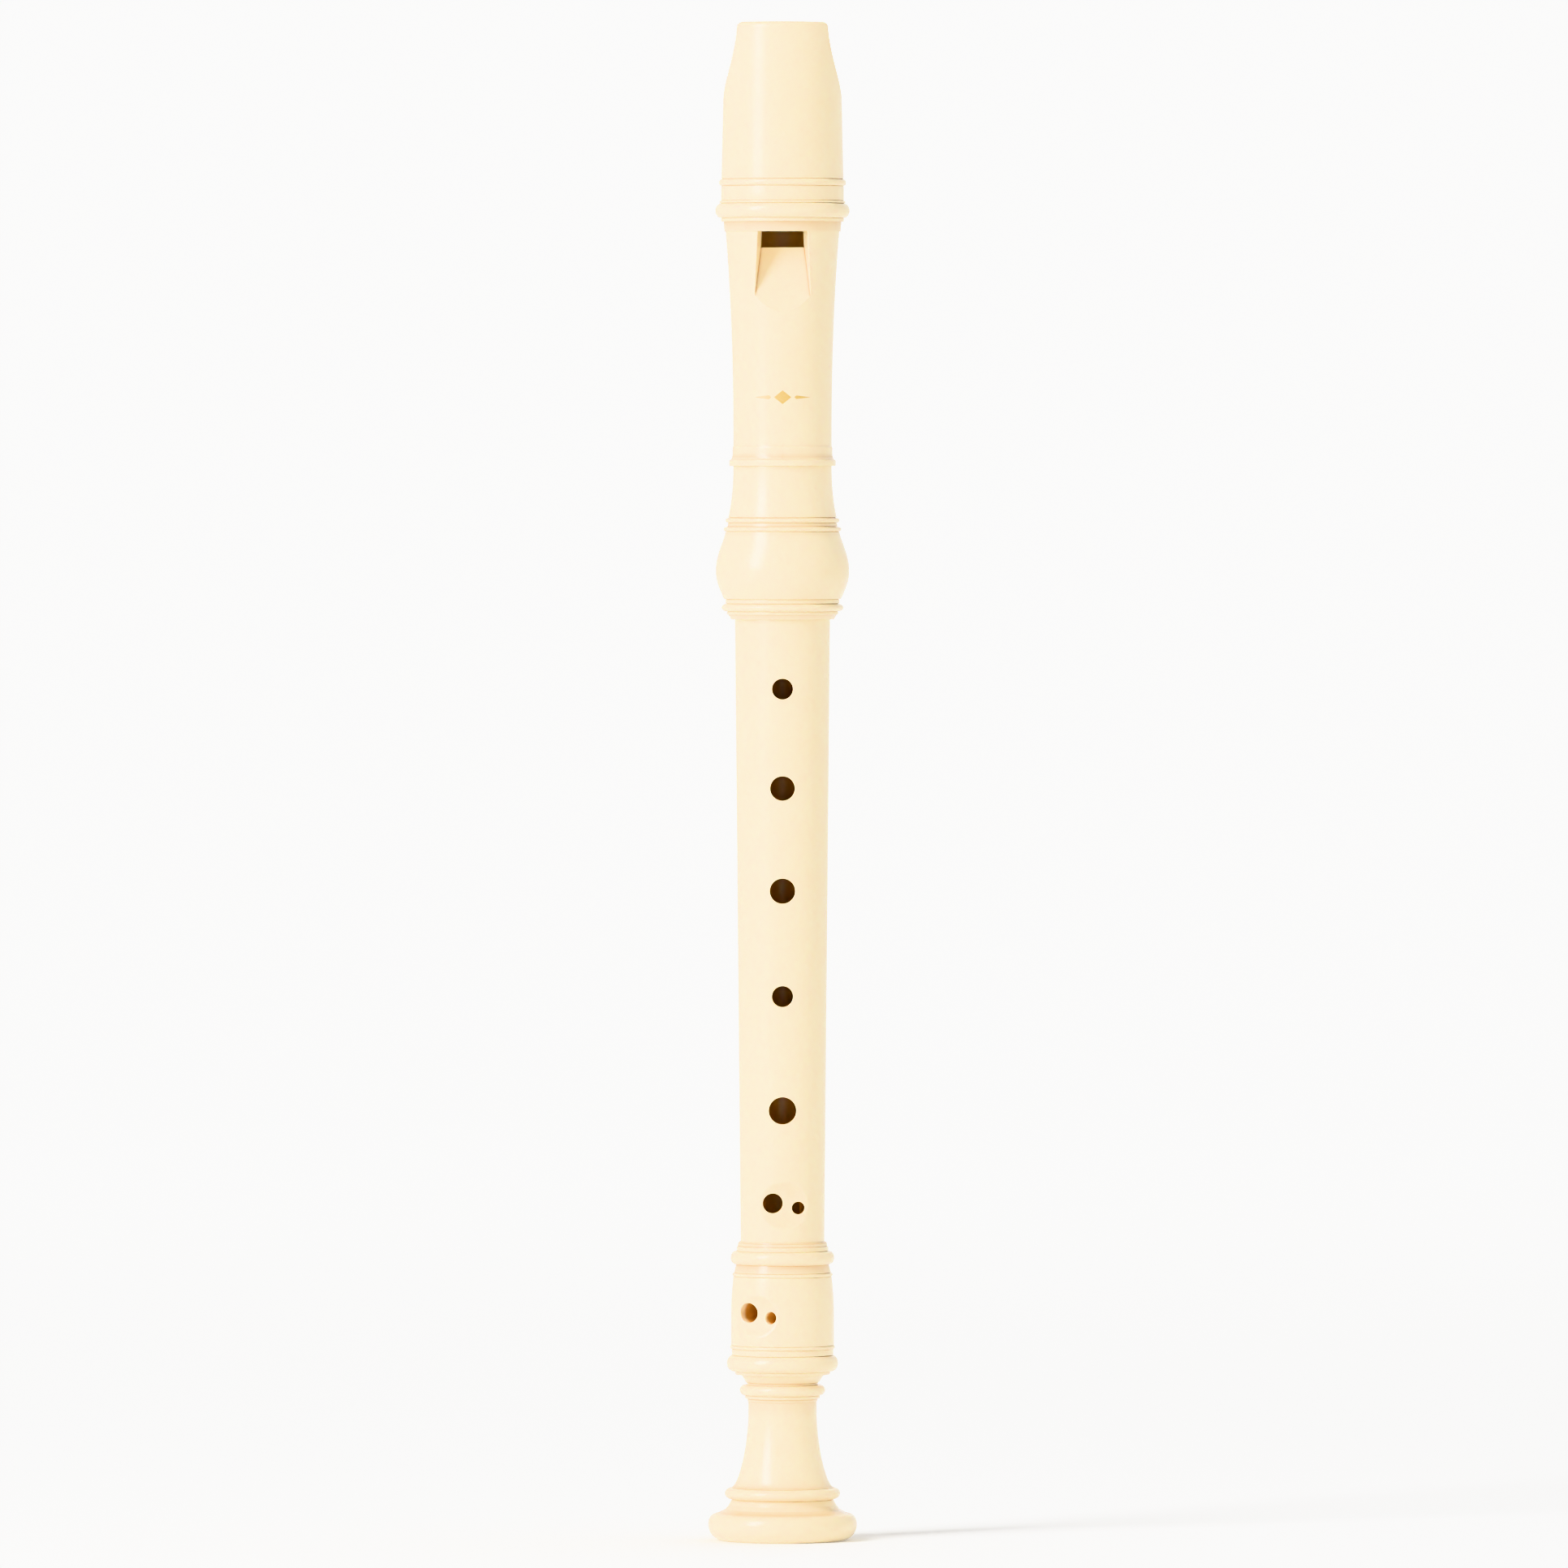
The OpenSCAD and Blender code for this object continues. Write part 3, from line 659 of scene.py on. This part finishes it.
turn = np.linspace(0, math.pi / 2, 6)
cove = np.stack([neck + 0.17 + 0.61 * (1 - np.sin(turn)), 1.25 + 1.55 * (1 - np.cos(turn))], -1)
collar = eased(np.concatenate([
    [[low_spigot_r - spigot_lead, -low_spigot_len]],
    [[low_spigot_r, spigot_lead - low_spigot_len], [low_spigot_r, 0]],
    [[neck + 0.86, 0], [neck + 0.86, 1.15]], cove,
    [[neck + 0.17, 3.9], [neck, swell_from], [neck, swell_from + 0.5]],
]), 0.1)
# The ramp ends where it comes out through the swelling wall
window_low = barrel_len - window_h
ramp_end = window_low
for _ in range(40):
    ramp_end = window_low - (barrel_swell(ramp_end) - lip_y - lip_edge / 2) / ramp_slope
up = np.r_[collar[:, 1], np.linspace(swell_from + 0.6, ramp_end - 0.3, 24),
           ramp_end + (window_low - ramp_end) * np.linspace(0, 1, 110) ** 2]
radius = np.r_[collar[:, 0], barrel_swell(up[len(collar):])]
drop = barrel_len - up
half = outside_rows(radius, drop)
lower_skin = mirrored(with_floor(half, np.minimum(ramp_depth(drop), radius)), sleeve_top + up)

up = np.r_[-low_spigot_len, np.linspace(1 - low_spigot_len, window_low - lip_under, 12),
           np.linspace(window_low - lip_under, window_low, 25)[1:]]
under = lip_y - lip_edge / 2
under = under + (barrel_bore_r - under) * (window_low - up) / lip_under
inner_skin = mirrored(with_floor(bore_half(barrel_len - up), under), sleeve_top + up)

up = np.linspace(window_low, barrel_len, 12)
x, depth = outside_rows(barrel_swell(up), barrel_len - up)
bore_x, bore_depth = bore_half(barrel_len - up)
window_side = one_sided((np.c_[bore_x[:, :1], x], np.c_[bore_depth[:, :1], depth]),
                        sleeve_top + up)
window_bore = one_sided((bore_x, bore_depth), sleeve_top + up)

# The upper spigot stands sunk in the barrel's end, and the windway's floor cuts its front
sunk, bore_clear = 0.3, 0.01
z = cap_low + np.array([-sunk, 0, top_spigot_len - spigot_lead, top_spigot_len])
spigot = []
for radius in (top_spigot_r - np.array([0, 0, 0, spigot_lead]),
               np.full(4, barrel_bore_r + bore_clear)):
    first = np.arccos(windway_floor(z) / radius)
    angle = between(first, 2 * math.pi - first, np.linspace(0, 1, 121))
    spigot.append(np.stack([radius[:, None] * np.sin(angle), -radius[:, None] * np.cos(angle),
                            z[:, None] + 0 * angle], -1))
spigot_wall, spigot_bore = spigot
spigot += [np.stack([spigot_wall[row], spigot_bore[row]]) for row in (0, -1)]
spigot += [np.stack([spigot_wall[:, side], spigot_bore[:, side]]) for side in (0, -1)]

middle_column = lower_skin.shape[1] // 2
lip = slice(middle_column - len(floor_shares) + 1, middle_column + len(floor_shares))
# The same ivory with painted shade inside the barrel's bore, round a line just behind the axis.
head_ivory = plastic("head_ivory_abs", *shell_tints, bore_shade_r=0.0069, bore_shade_back=0.002)
barrel = skin("barrel_shell", [
    lower_skin, window_side, inner_skin, window_bore,
    np.stack([lower_skin[-1, lip], inner_skin[-1, lip]]),
    np.stack([window_side[-1, 1:-1], window_bore[-1]]),
    np.stack([lower_skin[0], inner_skin[0]]),
    *spigot,
], "head", "head_barrel", head_ivory, sharp=26)

# ---------------------------------------------------------------- beak cap
# The mouthpiece, a separate moulding pushed over the barrel's spigot and cemented.
# Rings stiffen its lower end, its back is scooped for the chin, and the windway's
# roof is cut into it, so the player's lips close round its rounded tip.
cap_r, tip_r, tip_round, rings_high = 13.08, 12.38, 1.1, 11.3
pocket_r = top_spigot_r + weld_gap
scoop_r, tip_thick, scoop_round = 21.6, 4.9, 0.4
windway_out_h, windway_in_h, windway_in_w = 0.9, 1.1, 9.0
# The scoop's circle: how far behind the axis its centre lies, and a depth it never has
scoop_y, out_of_reach = scoop_r - tip_r + tip_thick, 99


def scoop_depth(z):
    """How far behind the axis the chin scoop cuts at a height: its centre line less
    the root of its radius squared less the drop squared, or out of reach below it."""
    square = scoop_r**2 - (tip_z - z) ** 2
    return np.where(square > 0, scoop_y - np.sqrt(np.maximum(square, 0)), out_of_reach)


def windway(z):
    """Depths of the windway's floor and roof in front of the axis, and its half
    width: height and width change evenly from the window to the tip."""
    share = (z - cap_low) / cap_len
    roof = windway_floor(z) + windway_out_h + (windway_in_h - windway_out_h) * share
    return windway_floor(z), roof, (window_w + (windway_in_w - window_w) * share) / 2


def cap_taper(z):
    """Radius of the cap's outside, which tapers evenly from its rings to its tip."""
    share = (z - cap_low - rings_high) / (cap_len - tip_round - rings_high)
    return cap_r + (tip_r - cap_r) * share


ring_rows = eased(raised(np.concatenate([
    [[cap_r - 0.61, 0], [cap_r - 0.43, 2.1]],
    [[cap_r + 0.09, 2.1], [cap_r + 0.09, 2.8], [cap_r - 0.1, 2.85]],
    bead(cap_r + 0.1, 1.21, 2.9, 6.0),
    [[cap_r, 6.05], [cap_r + 0.4, 6.1], [cap_r + 0.4, 6.5]],
    [[cap_r - 0.05, 6.55], [cap_r + 0.07, 6.65], [cap_r + 0.07, 9.65], [cap_r - 0.12, 9.73]],
    bead(cap_r + 0.05, 0.5, 9.8, 11.15),
    [[cap_r - 0.15, rings_high - 0.08], [cap_r, rings_high], [cap_r, rings_high + 0.2]],
]), cap_low))
scoop_start = tip_z - scoop_r
for _ in range(30):
    scoop_start = tip_z - math.sqrt(scoop_r**2 - (scoop_y - cap_taper(scoop_start)) ** 2)
into_pocket = tip_z - math.sqrt(scoop_r**2 - (scoop_y - pocket_r) ** 2)
start, pocket_turn, end = (math.asin((tip_z - z) / scoop_r)
                           for z in (scoop_start, into_pocket, tip_z - tip_round))
swing = np.r_[np.linspace(start, pocket_turn, 9), np.linspace(pocket_turn, end, 70)[1:]]
below_scoop = np.linspace(cap_low + rings_high + 0.7, scoop_start - 0.5, 10)
taper_z = np.r_[below_scoop, tip_z - scoop_r * np.sin(swing)]
turn = np.linspace(0, math.pi / 2, 13)[1:]
row_r = np.r_[ring_rows[:, 0], cap_taper(taper_z), tip_r - tip_round * (1 - np.cos(turn))]
row_z = np.r_[ring_rows[:, 1], taper_z, tip_z - tip_round * (1 - np.sin(turn))]
row_c = scoop_depth(row_z)
row_c[: len(ring_rows) + len(below_scoop)] = out_of_reach


def cap_outside(r, z, c):
    """Right halves of the cap's outside: the round wall, a rounded corner where the
    scoop meets it, and the flat rim of the scoop in to the pocket's wall."""
    floor, roof, half = windway(z)
    ledge = np.sqrt(pocket_r**2 - floor**2)
    last = np.arccos(np.clip(-c / r, -1, 1))
    corner_x, corner_y = r * np.sin(last), np.minimum(c, r)
    corner_x = np.where(c >= r, 0, corner_x)
    ease = np.minimum(scoop_round, 0.45 * corner_x)
    stops = [0 * r, np.arctan2(half, roof), np.arctan2(ledge, floor), last - ease / r]
    angle = np.concatenate([
        between(stops[0], stops[1], np.linspace(0, 1, 49)),
        between(stops[1], stops[2], np.linspace(0, 1, 13)[1:]),
        between(stops[2], stops[3], np.linspace(0, 1, 61)[1:]),
    ], 1)
    inner_x = np.sqrt(np.maximum(pocket_r**2 - np.minimum(c, pocket_r) ** 2, 0))
    t = np.linspace(0, 1, 7)[None, 1:]
    wall_x, wall_y = r[:, None] * np.sin(angle), -r[:, None] * np.cos(angle)
    bend_x = bend(wall_x[:, -1:], corner_x[:, None], (corner_x - ease)[:, None], t)
    bend_y = bend(wall_y[:, -1:], corner_y[:, None], corner_y[:, None], t)
    rim_x = between(corner_x - ease, np.where(c >= r, 0, inner_x), np.linspace(0, 1, 7)[1:])
    rim_y = corner_y[:, None] + 0 * rim_x
    x = np.concatenate([wall_x, bend_x, rim_x], 1)
    return mirrored((x, -np.concatenate([wall_y, bend_y, rim_y], 1)), z)


def cap_inside(z, c):
    """Right halves of the cap's inside: windway roof, windway side, the ledge that
    rests on the block, and the round pocket to the scoop or to the back."""
    floor, roof, half = windway(z)
    ledge = np.sqrt(pocket_r**2 - floor**2)
    last = np.arccos(np.clip(-c / pocket_r, -1, 1))
    first = np.arctan2(ledge, floor)
    angle = between(first, last, np.linspace(0, 1, 73)[1:])
    roof_t, side_t, ledge_t = (np.linspace(0, 1, count) for count in (49, 5, 9))
    x = [between(0 * z, half, roof_t), between(half, half, side_t[1:]),
         between(half, ledge, ledge_t[1:]), pocket_r * np.sin(angle)]
    depth = [between(roof, roof, roof_t), between(roof, floor, side_t[1:]),
             between(floor, floor, ledge_t[1:]), pocket_r * np.cos(angle)]
    return mirrored((np.concatenate(x, 1), np.concatenate(depth, 1)), z)


inner_rows = np.r_[0, len(ring_rows):len(row_z)]
outside = cap_outside(row_r, row_z, row_c)
inside = cap_inside(row_z[inner_rows], row_c[inner_rows])
cap = skin("beak_cap_shell", [
    outside, inside, np.stack([outside[0], inside[0]]), np.stack([outside[-1], inside[-1]]),
], "head", "beak_cap", ivory, sharp=30)

# ---------------------------------------------------------------- windway block
# The plug that closes the head. Its flat front is the windway's floor, its lower end
# fills the bore above the window, and behind it is cut flush with the chin scoop, so
# only its edge and the end of the windway are ever seen.
ivory_deep = plastic("block_abs", (0.88, 0.73, 0.47), (0.86, 0.70, 0.43), 0.3)
plug_r, block_r, block_round = barrel_bore_r - weld_gap, pocket_r - weld_gap, 0.15
plug_high = cap_low + top_spigot_len
upper_z = row_z[row_z > plug_high + 1]
block_z = np.r_[cap_low, plug_high, plug_high, upper_z]
block_rad = np.r_[plug_r, plug_r, block_r, block_r + 0 * upper_z]
block_c = scoop_depth(block_z)
floor = windway_floor(block_z)
front_x = np.sqrt(block_rad**2 - floor**2)
last = np.arccos(np.clip(-block_c / block_rad, -1, 1))
corner_x = np.where(block_c >= block_rad, 0, block_rad * np.sin(last))
back_y = np.minimum(block_c, block_rad)
ease = np.minimum(block_round, 0.45 * corner_x)
angle = between(np.arctan2(front_x, floor), last - ease / block_rad, np.linspace(0, 1, 60))
t = np.linspace(0, 1, 5)[None, 1:]
arc_x, arc_y = block_rad[:, None] * np.sin(angle), -block_rad[:, None] * np.cos(angle)
bend_x = bend(arc_x[:, -1:], corner_x[:, None], (corner_x - ease)[:, None], t)
bend_y = bend(arc_y[:, -1:], back_y[:, None], back_y[:, None], t)
back_x = between(corner_x - ease, 0 * corner_x, np.linspace(0, 1, 20)[1:])
half_x = np.concatenate([between(0 * floor, front_x, np.linspace(0, 1, 20))[:, :-1],
                         arc_x, bend_x, back_x], 1)
half_y = np.concatenate([-floor[:, None] + np.zeros((1, 19)), arc_y, bend_y,
                         back_y[:, None] + 0 * back_x], 1)
sides = mirrored((half_x, -half_y), block_z)
ends = [np.stack([row, row * 0 + row.mean(0)]) for row in (sides[0], sides[-1])]
block = skin("windway_plug", [sides, *ends], "head", "windway_block", ivory_deep)

# ---------------------------------------------------------------- foot socket
# The short turning joint at the bottom: beads and a thin ledge round its mouth, a
# plain dished body, and the little finger's double hole in its own dish, which the
# player turns to one side. The bell's spigot is welded into its lower end.
foot_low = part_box("foot_socket")[0].z / MM
foot_len = tube_low - foot_low
foot_r, foot_bore_r, foot_socket_r, bell_spigot_r = 11.03, 4.9, 7.25, 7.4
bell_seat_r = bell_spigot_r + weld_gap
bell_spigot_len, foot_web = 8.3, 9.4
web_low, web_high = foot_low + bell_spigot_len, foot_low + bell_spigot_len + foot_web
foot_pair, foot_turn, foot_dish_half = (web_low + web_high) / 2, math.radians(-32), 5.4
draw_up, mouth_rings, drawn_in = 13.8, 7.5, 0.49


def foot_radius(height):
    """Radius of the foot's body: straight, then drawn in by a power of the height."""
    share = np.maximum((height - foot_low - draw_up) / (foot_len - mouth_rings - draw_up), 0)
    return foot_r - drawn_in * share**1.6


def foot_bore(angle, height):
    """Radius of the bore through the foot's web, the same everywhere."""
    return foot_bore_r + 0 * (angle + height)


foot_outer = dished(foot_radius, foot_turn, foot_pair)
large, small = double_hole(foot_turn, foot_pair)
sheets = pierced(foot_outer, foot_bore, web_low, web_high, [
    (web_low, foot_pair - pair_half, 6, []),
    (foot_pair - pair_half, foot_pair + pair_half, 32, [(-38, -14, large), (-14, 4, small)]),
    (foot_pair + pair_half, web_high, 6, []),
])
dish_low, dish_high = foot_pair - foot_dish_half, foot_pair + foot_dish_half
for bottom, top in ((dish_low, web_low), (web_high, dish_high)):
    lines = np.linspace(bottom, top, 5)[:, None]
    sheets.append(on_wall(foot_outer, all_round + 0 * lines, lines))
top = foot_len
lower = np.concatenate([
    [[foot_bore_r, bell_spigot_len], [bell_seat_r, bell_spigot_len], [bell_seat_r, 0.2],
     [bell_seat_r + 0.2, 0]],
    [[foot_r - 0.93, 0], [foot_r - 0.75, 0.6], [foot_r - 0.95, 0.65]],
    bead(foot_r - 0.4, 1.3, 0.7, 4.1),
    [[foot_r - 0.6, 4.15], [foot_r - 0.14, 4.2], [foot_r - 0.14, 5.4], [foot_r - 0.35, 5.45]],
    bead(foot_r - 0.1, 0.31, 5.5, 6.2),
    [[foot_r - 0.3, 6.25], [foot_r, 6.3], [foot_r, dish_low - foot_low]],
])
body = np.linspace(dish_high - foot_low, top - mouth_rings, 8)
upper = np.concatenate([
    np.stack([foot_radius(body + foot_low), body], -1),
    [[foot_r - 0.75, top - mouth_rings + 0.05]],
    bead(foot_r - 0.55, 0.26, top - 7.4, top - 6.7),
    [[foot_r - 0.82, top - 6.65], [foot_r - 0.66, top - 6.55], [foot_r - 1.1, top - 4.85]],
    bead(foot_r - 0.9, 0.97, top - 4.8, top - 2.05),
    [[foot_r - 1.4, top - 2.0], [foot_r - 1.19, top - 1.95], [foot_r - 1.19, top - 1.15]],
    [[foot_r - 1.45, top - 0.95], [foot_r - 1.45, top - 0.35]],
    [[foot_r - 1.6, top - 0.3], [foot_r - 1.67, top]],
    [[foot_socket_r + 0.3, top], [foot_socket_r, top - 0.35]],
    [[foot_socket_r, bell_spigot_len + foot_web], [foot_bore_r, bell_spigot_len + foot_web]],
])
sheets += [around(raised(eased(lower), foot_low)), around(raised(eased(upper), foot_low))]
# The same ivory with painted shade inside the foot's bore, socket and holes.
foot_ivory = plastic("foot_ivory_abs", *shell_tints, bore_shade_r=0.0096)
foot = skin("foot_socket_shell", sheets, "foot", "foot_socket", foot_ivory)

# ---------------------------------------------------------------- bell
# The flared end: beads under the foot, a slender neck, the flare, a bead and a
# rounded rim. The recorder stands on its flat face, round the mouth of the bore.
bell_top = foot_low
rim_r, neck_r, stand_r, flare_power = 15.94, 7.32, 12.6, 2 / 1.65
turn = np.linspace(0, math.pi / 2, 16)
foot_edge = np.stack([stand_r + (rim_r - stand_r) * np.sin(turn), 3.4 * (1 - np.cos(turn))], -1)
lean = np.linspace(0, math.radians(75), 12)
share = (np.cos(lean) - math.cos(lean[-1])) / (1 - math.cos(lean[-1]))
shoulder = np.stack([rim_r - 1.31 + 1.31 * share,
                     3.6 + 2.1 * np.sin(lean) / math.sin(lean[-1])], -1)
flare_r, flare_low, flare_high = rim_r - 4.96, 11.4, bell_top - 8.5
turn = np.linspace(math.pi / 2, 0, 28)
flare = np.stack([neck_r + (flare_r - neck_r) * (1 - np.cos(turn) ** flare_power),
                  flare_high + (flare_low - flare_high) * np.sin(turn) ** flare_power], -1)
top = bell_top
bell_profile = np.concatenate([
    [[foot_bore_r + 0.5, 0]], foot_edge, shoulder,
    [[rim_r - 2.3, 6.0], [rim_r - 3.66, 6.7], [rim_r - 4.44, 7.6], [rim_r - 5.05, 8.8]],
    [[rim_r - 5.25, 8.85]], bead(rim_r - 5.05, 1.48, 8.9, 11.3), [[rim_r - 5.3, 11.35]],
    flare,
    [[neck_r, top - 5.9]],
    [[neck_r + 0.17, top - 5.7], [neck_r + 0.17, top - 5.3]],
    [[neck_r + 0.69, top - 5.1], [neck_r + 0.69, top - 4.6], [neck_r + 0.5, top - 4.55]],
    bead(neck_r + 0.75, 1.08, top - 4.5, top - 2.3),
    [[neck_r + 0.1, top - 2.25], [neck_r + 0.26, top - 2.2], [neck_r + 0.26, top - 1.8]],
    [[neck_r + 0.52, top - 1.7], [neck_r + 1.39, top - 0.3], [neck_r + 1.45, top]],
    [[bell_spigot_r, top], [bell_spigot_r, web_low - 0.2], [bell_spigot_r - 0.2, web_low]],
    [[foot_bore_r, web_low], [foot_bore_r, 0.5], [foot_bore_r + 0.5, 0]],
])
bell = skin("bell_shell", [around(eased(bell_profile))], "foot", "bell", ivory)

# ---------------------------------------------------------------- gilt ornament
# A small mark in gold foil on the front of the barrel: a lozenge between two darts.
# It is pressed on hot and lies a hair proud of the ivory.
ornament_z = sleeve_top + 14.7
lozenge_half_w, lozenge_half_h = 1.9, 1.5
dart_start, dart_len, dart_half_h, dart_peak = 2.5, 3.9, 0.42, 0.12
gold_foil = grained("gold_foil", 1 / 2500, 3, (0.52, 0.33, 0.10), (0.74, 0.52, 0.20), (0.28, 0.5))
gold_foil.node_tree.nodes["Principled BSDF"].inputs["Metallic"].default_value = 0.85


def foil(across, half, proud=0.012, sunk=0.03):
    """Strip of foil on the barrel: at each distance across it reaches `half` up and
    down, and its section is a flat box from sunk below to proud of the wall."""
    up_down = np.array([-1, -1, -0.33, 0.33, 1, 1, -1])
    lift = np.array([-sunk, proud, proud, proud, proud, -sunk, -sunk])
    z = ornament_z + half[:, None] * up_down
    radius = barrel_swell(z - sleeve_top) + lift
    angle = across[:, None] / barrel_swell(ornament_z - sleeve_top) + 0 * z
    return np.stack([radius * np.sin(angle), -radius * np.cos(angle), z], -1)


lozenge = np.linspace(-lozenge_half_w, lozenge_half_w, 31)
strips = [foil(lozenge, lozenge_half_h * (1 - np.abs(lozenge) / lozenge_half_w))]
dart = np.linspace(0, 1, 25)
dart_half = dart_half_h * np.minimum(dart / dart_peak, (1 - dart) / (1 - dart_peak))
strips += [foil(side * (dart_start + dart_len * dart), dart_half) for side in (-1, 1)]
skin("gilt_ornament", strips, "head", None, gold_foil, weld=0.0005)

# ---------------------------------------------------------------- stage and light
# A pale round studio floor whose edge sweeps up into a wall and glows as painted light,
# most strongly behind the recorder, open above to an even pale sky, with a tall soft light on the
# left.
studio_r, wall_height, sweep = 4.6, 2.8, 1.6
turn = np.linspace(0, math.pi / 2, 24)
section = np.concatenate([
    [[0, 0], [0.4, 0], [1.5, 0]],
    np.stack([studio_r - sweep + sweep * np.sin(turn), sweep * (1 - np.cos(turn))], -1),
    [[studio_r, wall_height]],
])
bowl = around(section, np.linspace(0, 2 * math.pi, 97))
paper_mesh = bpy.data.meshes.new("paper_sweep")
paper_mesh.from_pydata(bowl.reshape(-1, 3).tolist(), [], quads(bowl).tolist())
paper_mesh.shade_smooth()
paper = bpy.data.objects.new("paper_sweep", paper_mesh)
scene = bpy.context.scene
scene.collection.objects.link(paper)
paper_white, nodes, links, shader, place = fresh("white_paper")
shade = nodes.new("ShaderNodeValToRGB")
shade.color_ramp.elements[0].color = (0.90, 0.90, 0.90, 1)
shade.color_ramp.elements[1].color = (0.94, 0.94, 0.94, 1)
links.new(cloud(nodes, links, place, 1 / 6, 8), shade.inputs["Fac"])
links.new(shade.outputs["Color"], shader.inputs["Base Color"])
shader.inputs["Roughness"].default_value = 0.9
shader.inputs["Emission Color"].default_value = (1, 1, 1, 1)
# Painted light: the paper glows most behind the recorder, out to 0.5 m sideways, fading away by 1.3
# m
where = nodes.new("ShaderNodeSeparateXYZ")
links.new(place, where.inputs["Vector"])
across = nodes.new("ShaderNodeMath")
across.operation = "ABSOLUTE"
links.new(where.outputs["X"], across.inputs[0])
glow = nodes.new("ShaderNodeMath")
glow.operation = "MULTIPLY"
for k, (value, start, end) in enumerate((
        (across.outputs["Value"], 1.3, 0.5), (where.outputs["Y"], 0.1, 2.0))):
    lit = nodes.new("ShaderNodeMapRange")
    lit.interpolation_type = "SMOOTHSTEP"
    lit.inputs["From Min"].default_value, lit.inputs["From Max"].default_value = start, end
    links.new(value, lit.inputs["Value"])
    links.new(lit.outputs["Result"], glow.inputs[k])
strength = nodes.new("ShaderNodeMapRange")
strength.inputs["To Min"].default_value, strength.inputs["To Max"].default_value = 0.15, 1.0
links.new(glow.outputs["Value"], strength.inputs["Value"])
links.new(strength.outputs["Result"], shader.inputs["Emission Strength"])
paper_mesh.materials.append(paper_white)

key_data = bpy.data.lights.new("key_left", "AREA")
key_data.shape, key_data.size, key_data.size_y, key_data.energy = "RECTANGLE", 0.8, 1.8, 185
key = bpy.data.objects.new("key_left", key_data)
key.location = (-1.6, -1.4, 1.2)
key.rotation_euler = (Vector((0, 0, 0.16)) - key.location).to_track_quat("-Z", "Y").to_euler()
scene.collection.objects.link(key)
world = bpy.data.worlds.new("pale_surround")
world.use_nodes = True
sky = world.node_tree.nodes["Background"]
sky.inputs["Color"].default_value = (1, 0.98, 0.95, 1)
sky.inputs["Strength"].default_value = 0.42
scene.world = world
scene.view_settings.view_transform = "Khronos PBR Neutral"

# ---------------------------------------------------------------- camera
# A long lens, level with the barrel's lower end and aimed at the recorder's middle.
# It stands 3.8 m in front.
camera_data = bpy.data.cameras.new("camera")
camera_data.sensor_width, camera_data.lens = 36, 406.4
camera_data.clip_end = 60
camera = bpy.data.objects.new("camera", camera_data)
camera.location = (0.0003, -3.8, 0.2368)
aim = Vector((0.0003, 0, 0.1625)) - camera.location
camera.rotation_euler = aim.to_track_quat("-Z", "Y").to_euler()
scene.collection.objects.link(camera)
scene.camera = camera

bpy.context.view_layer.update()
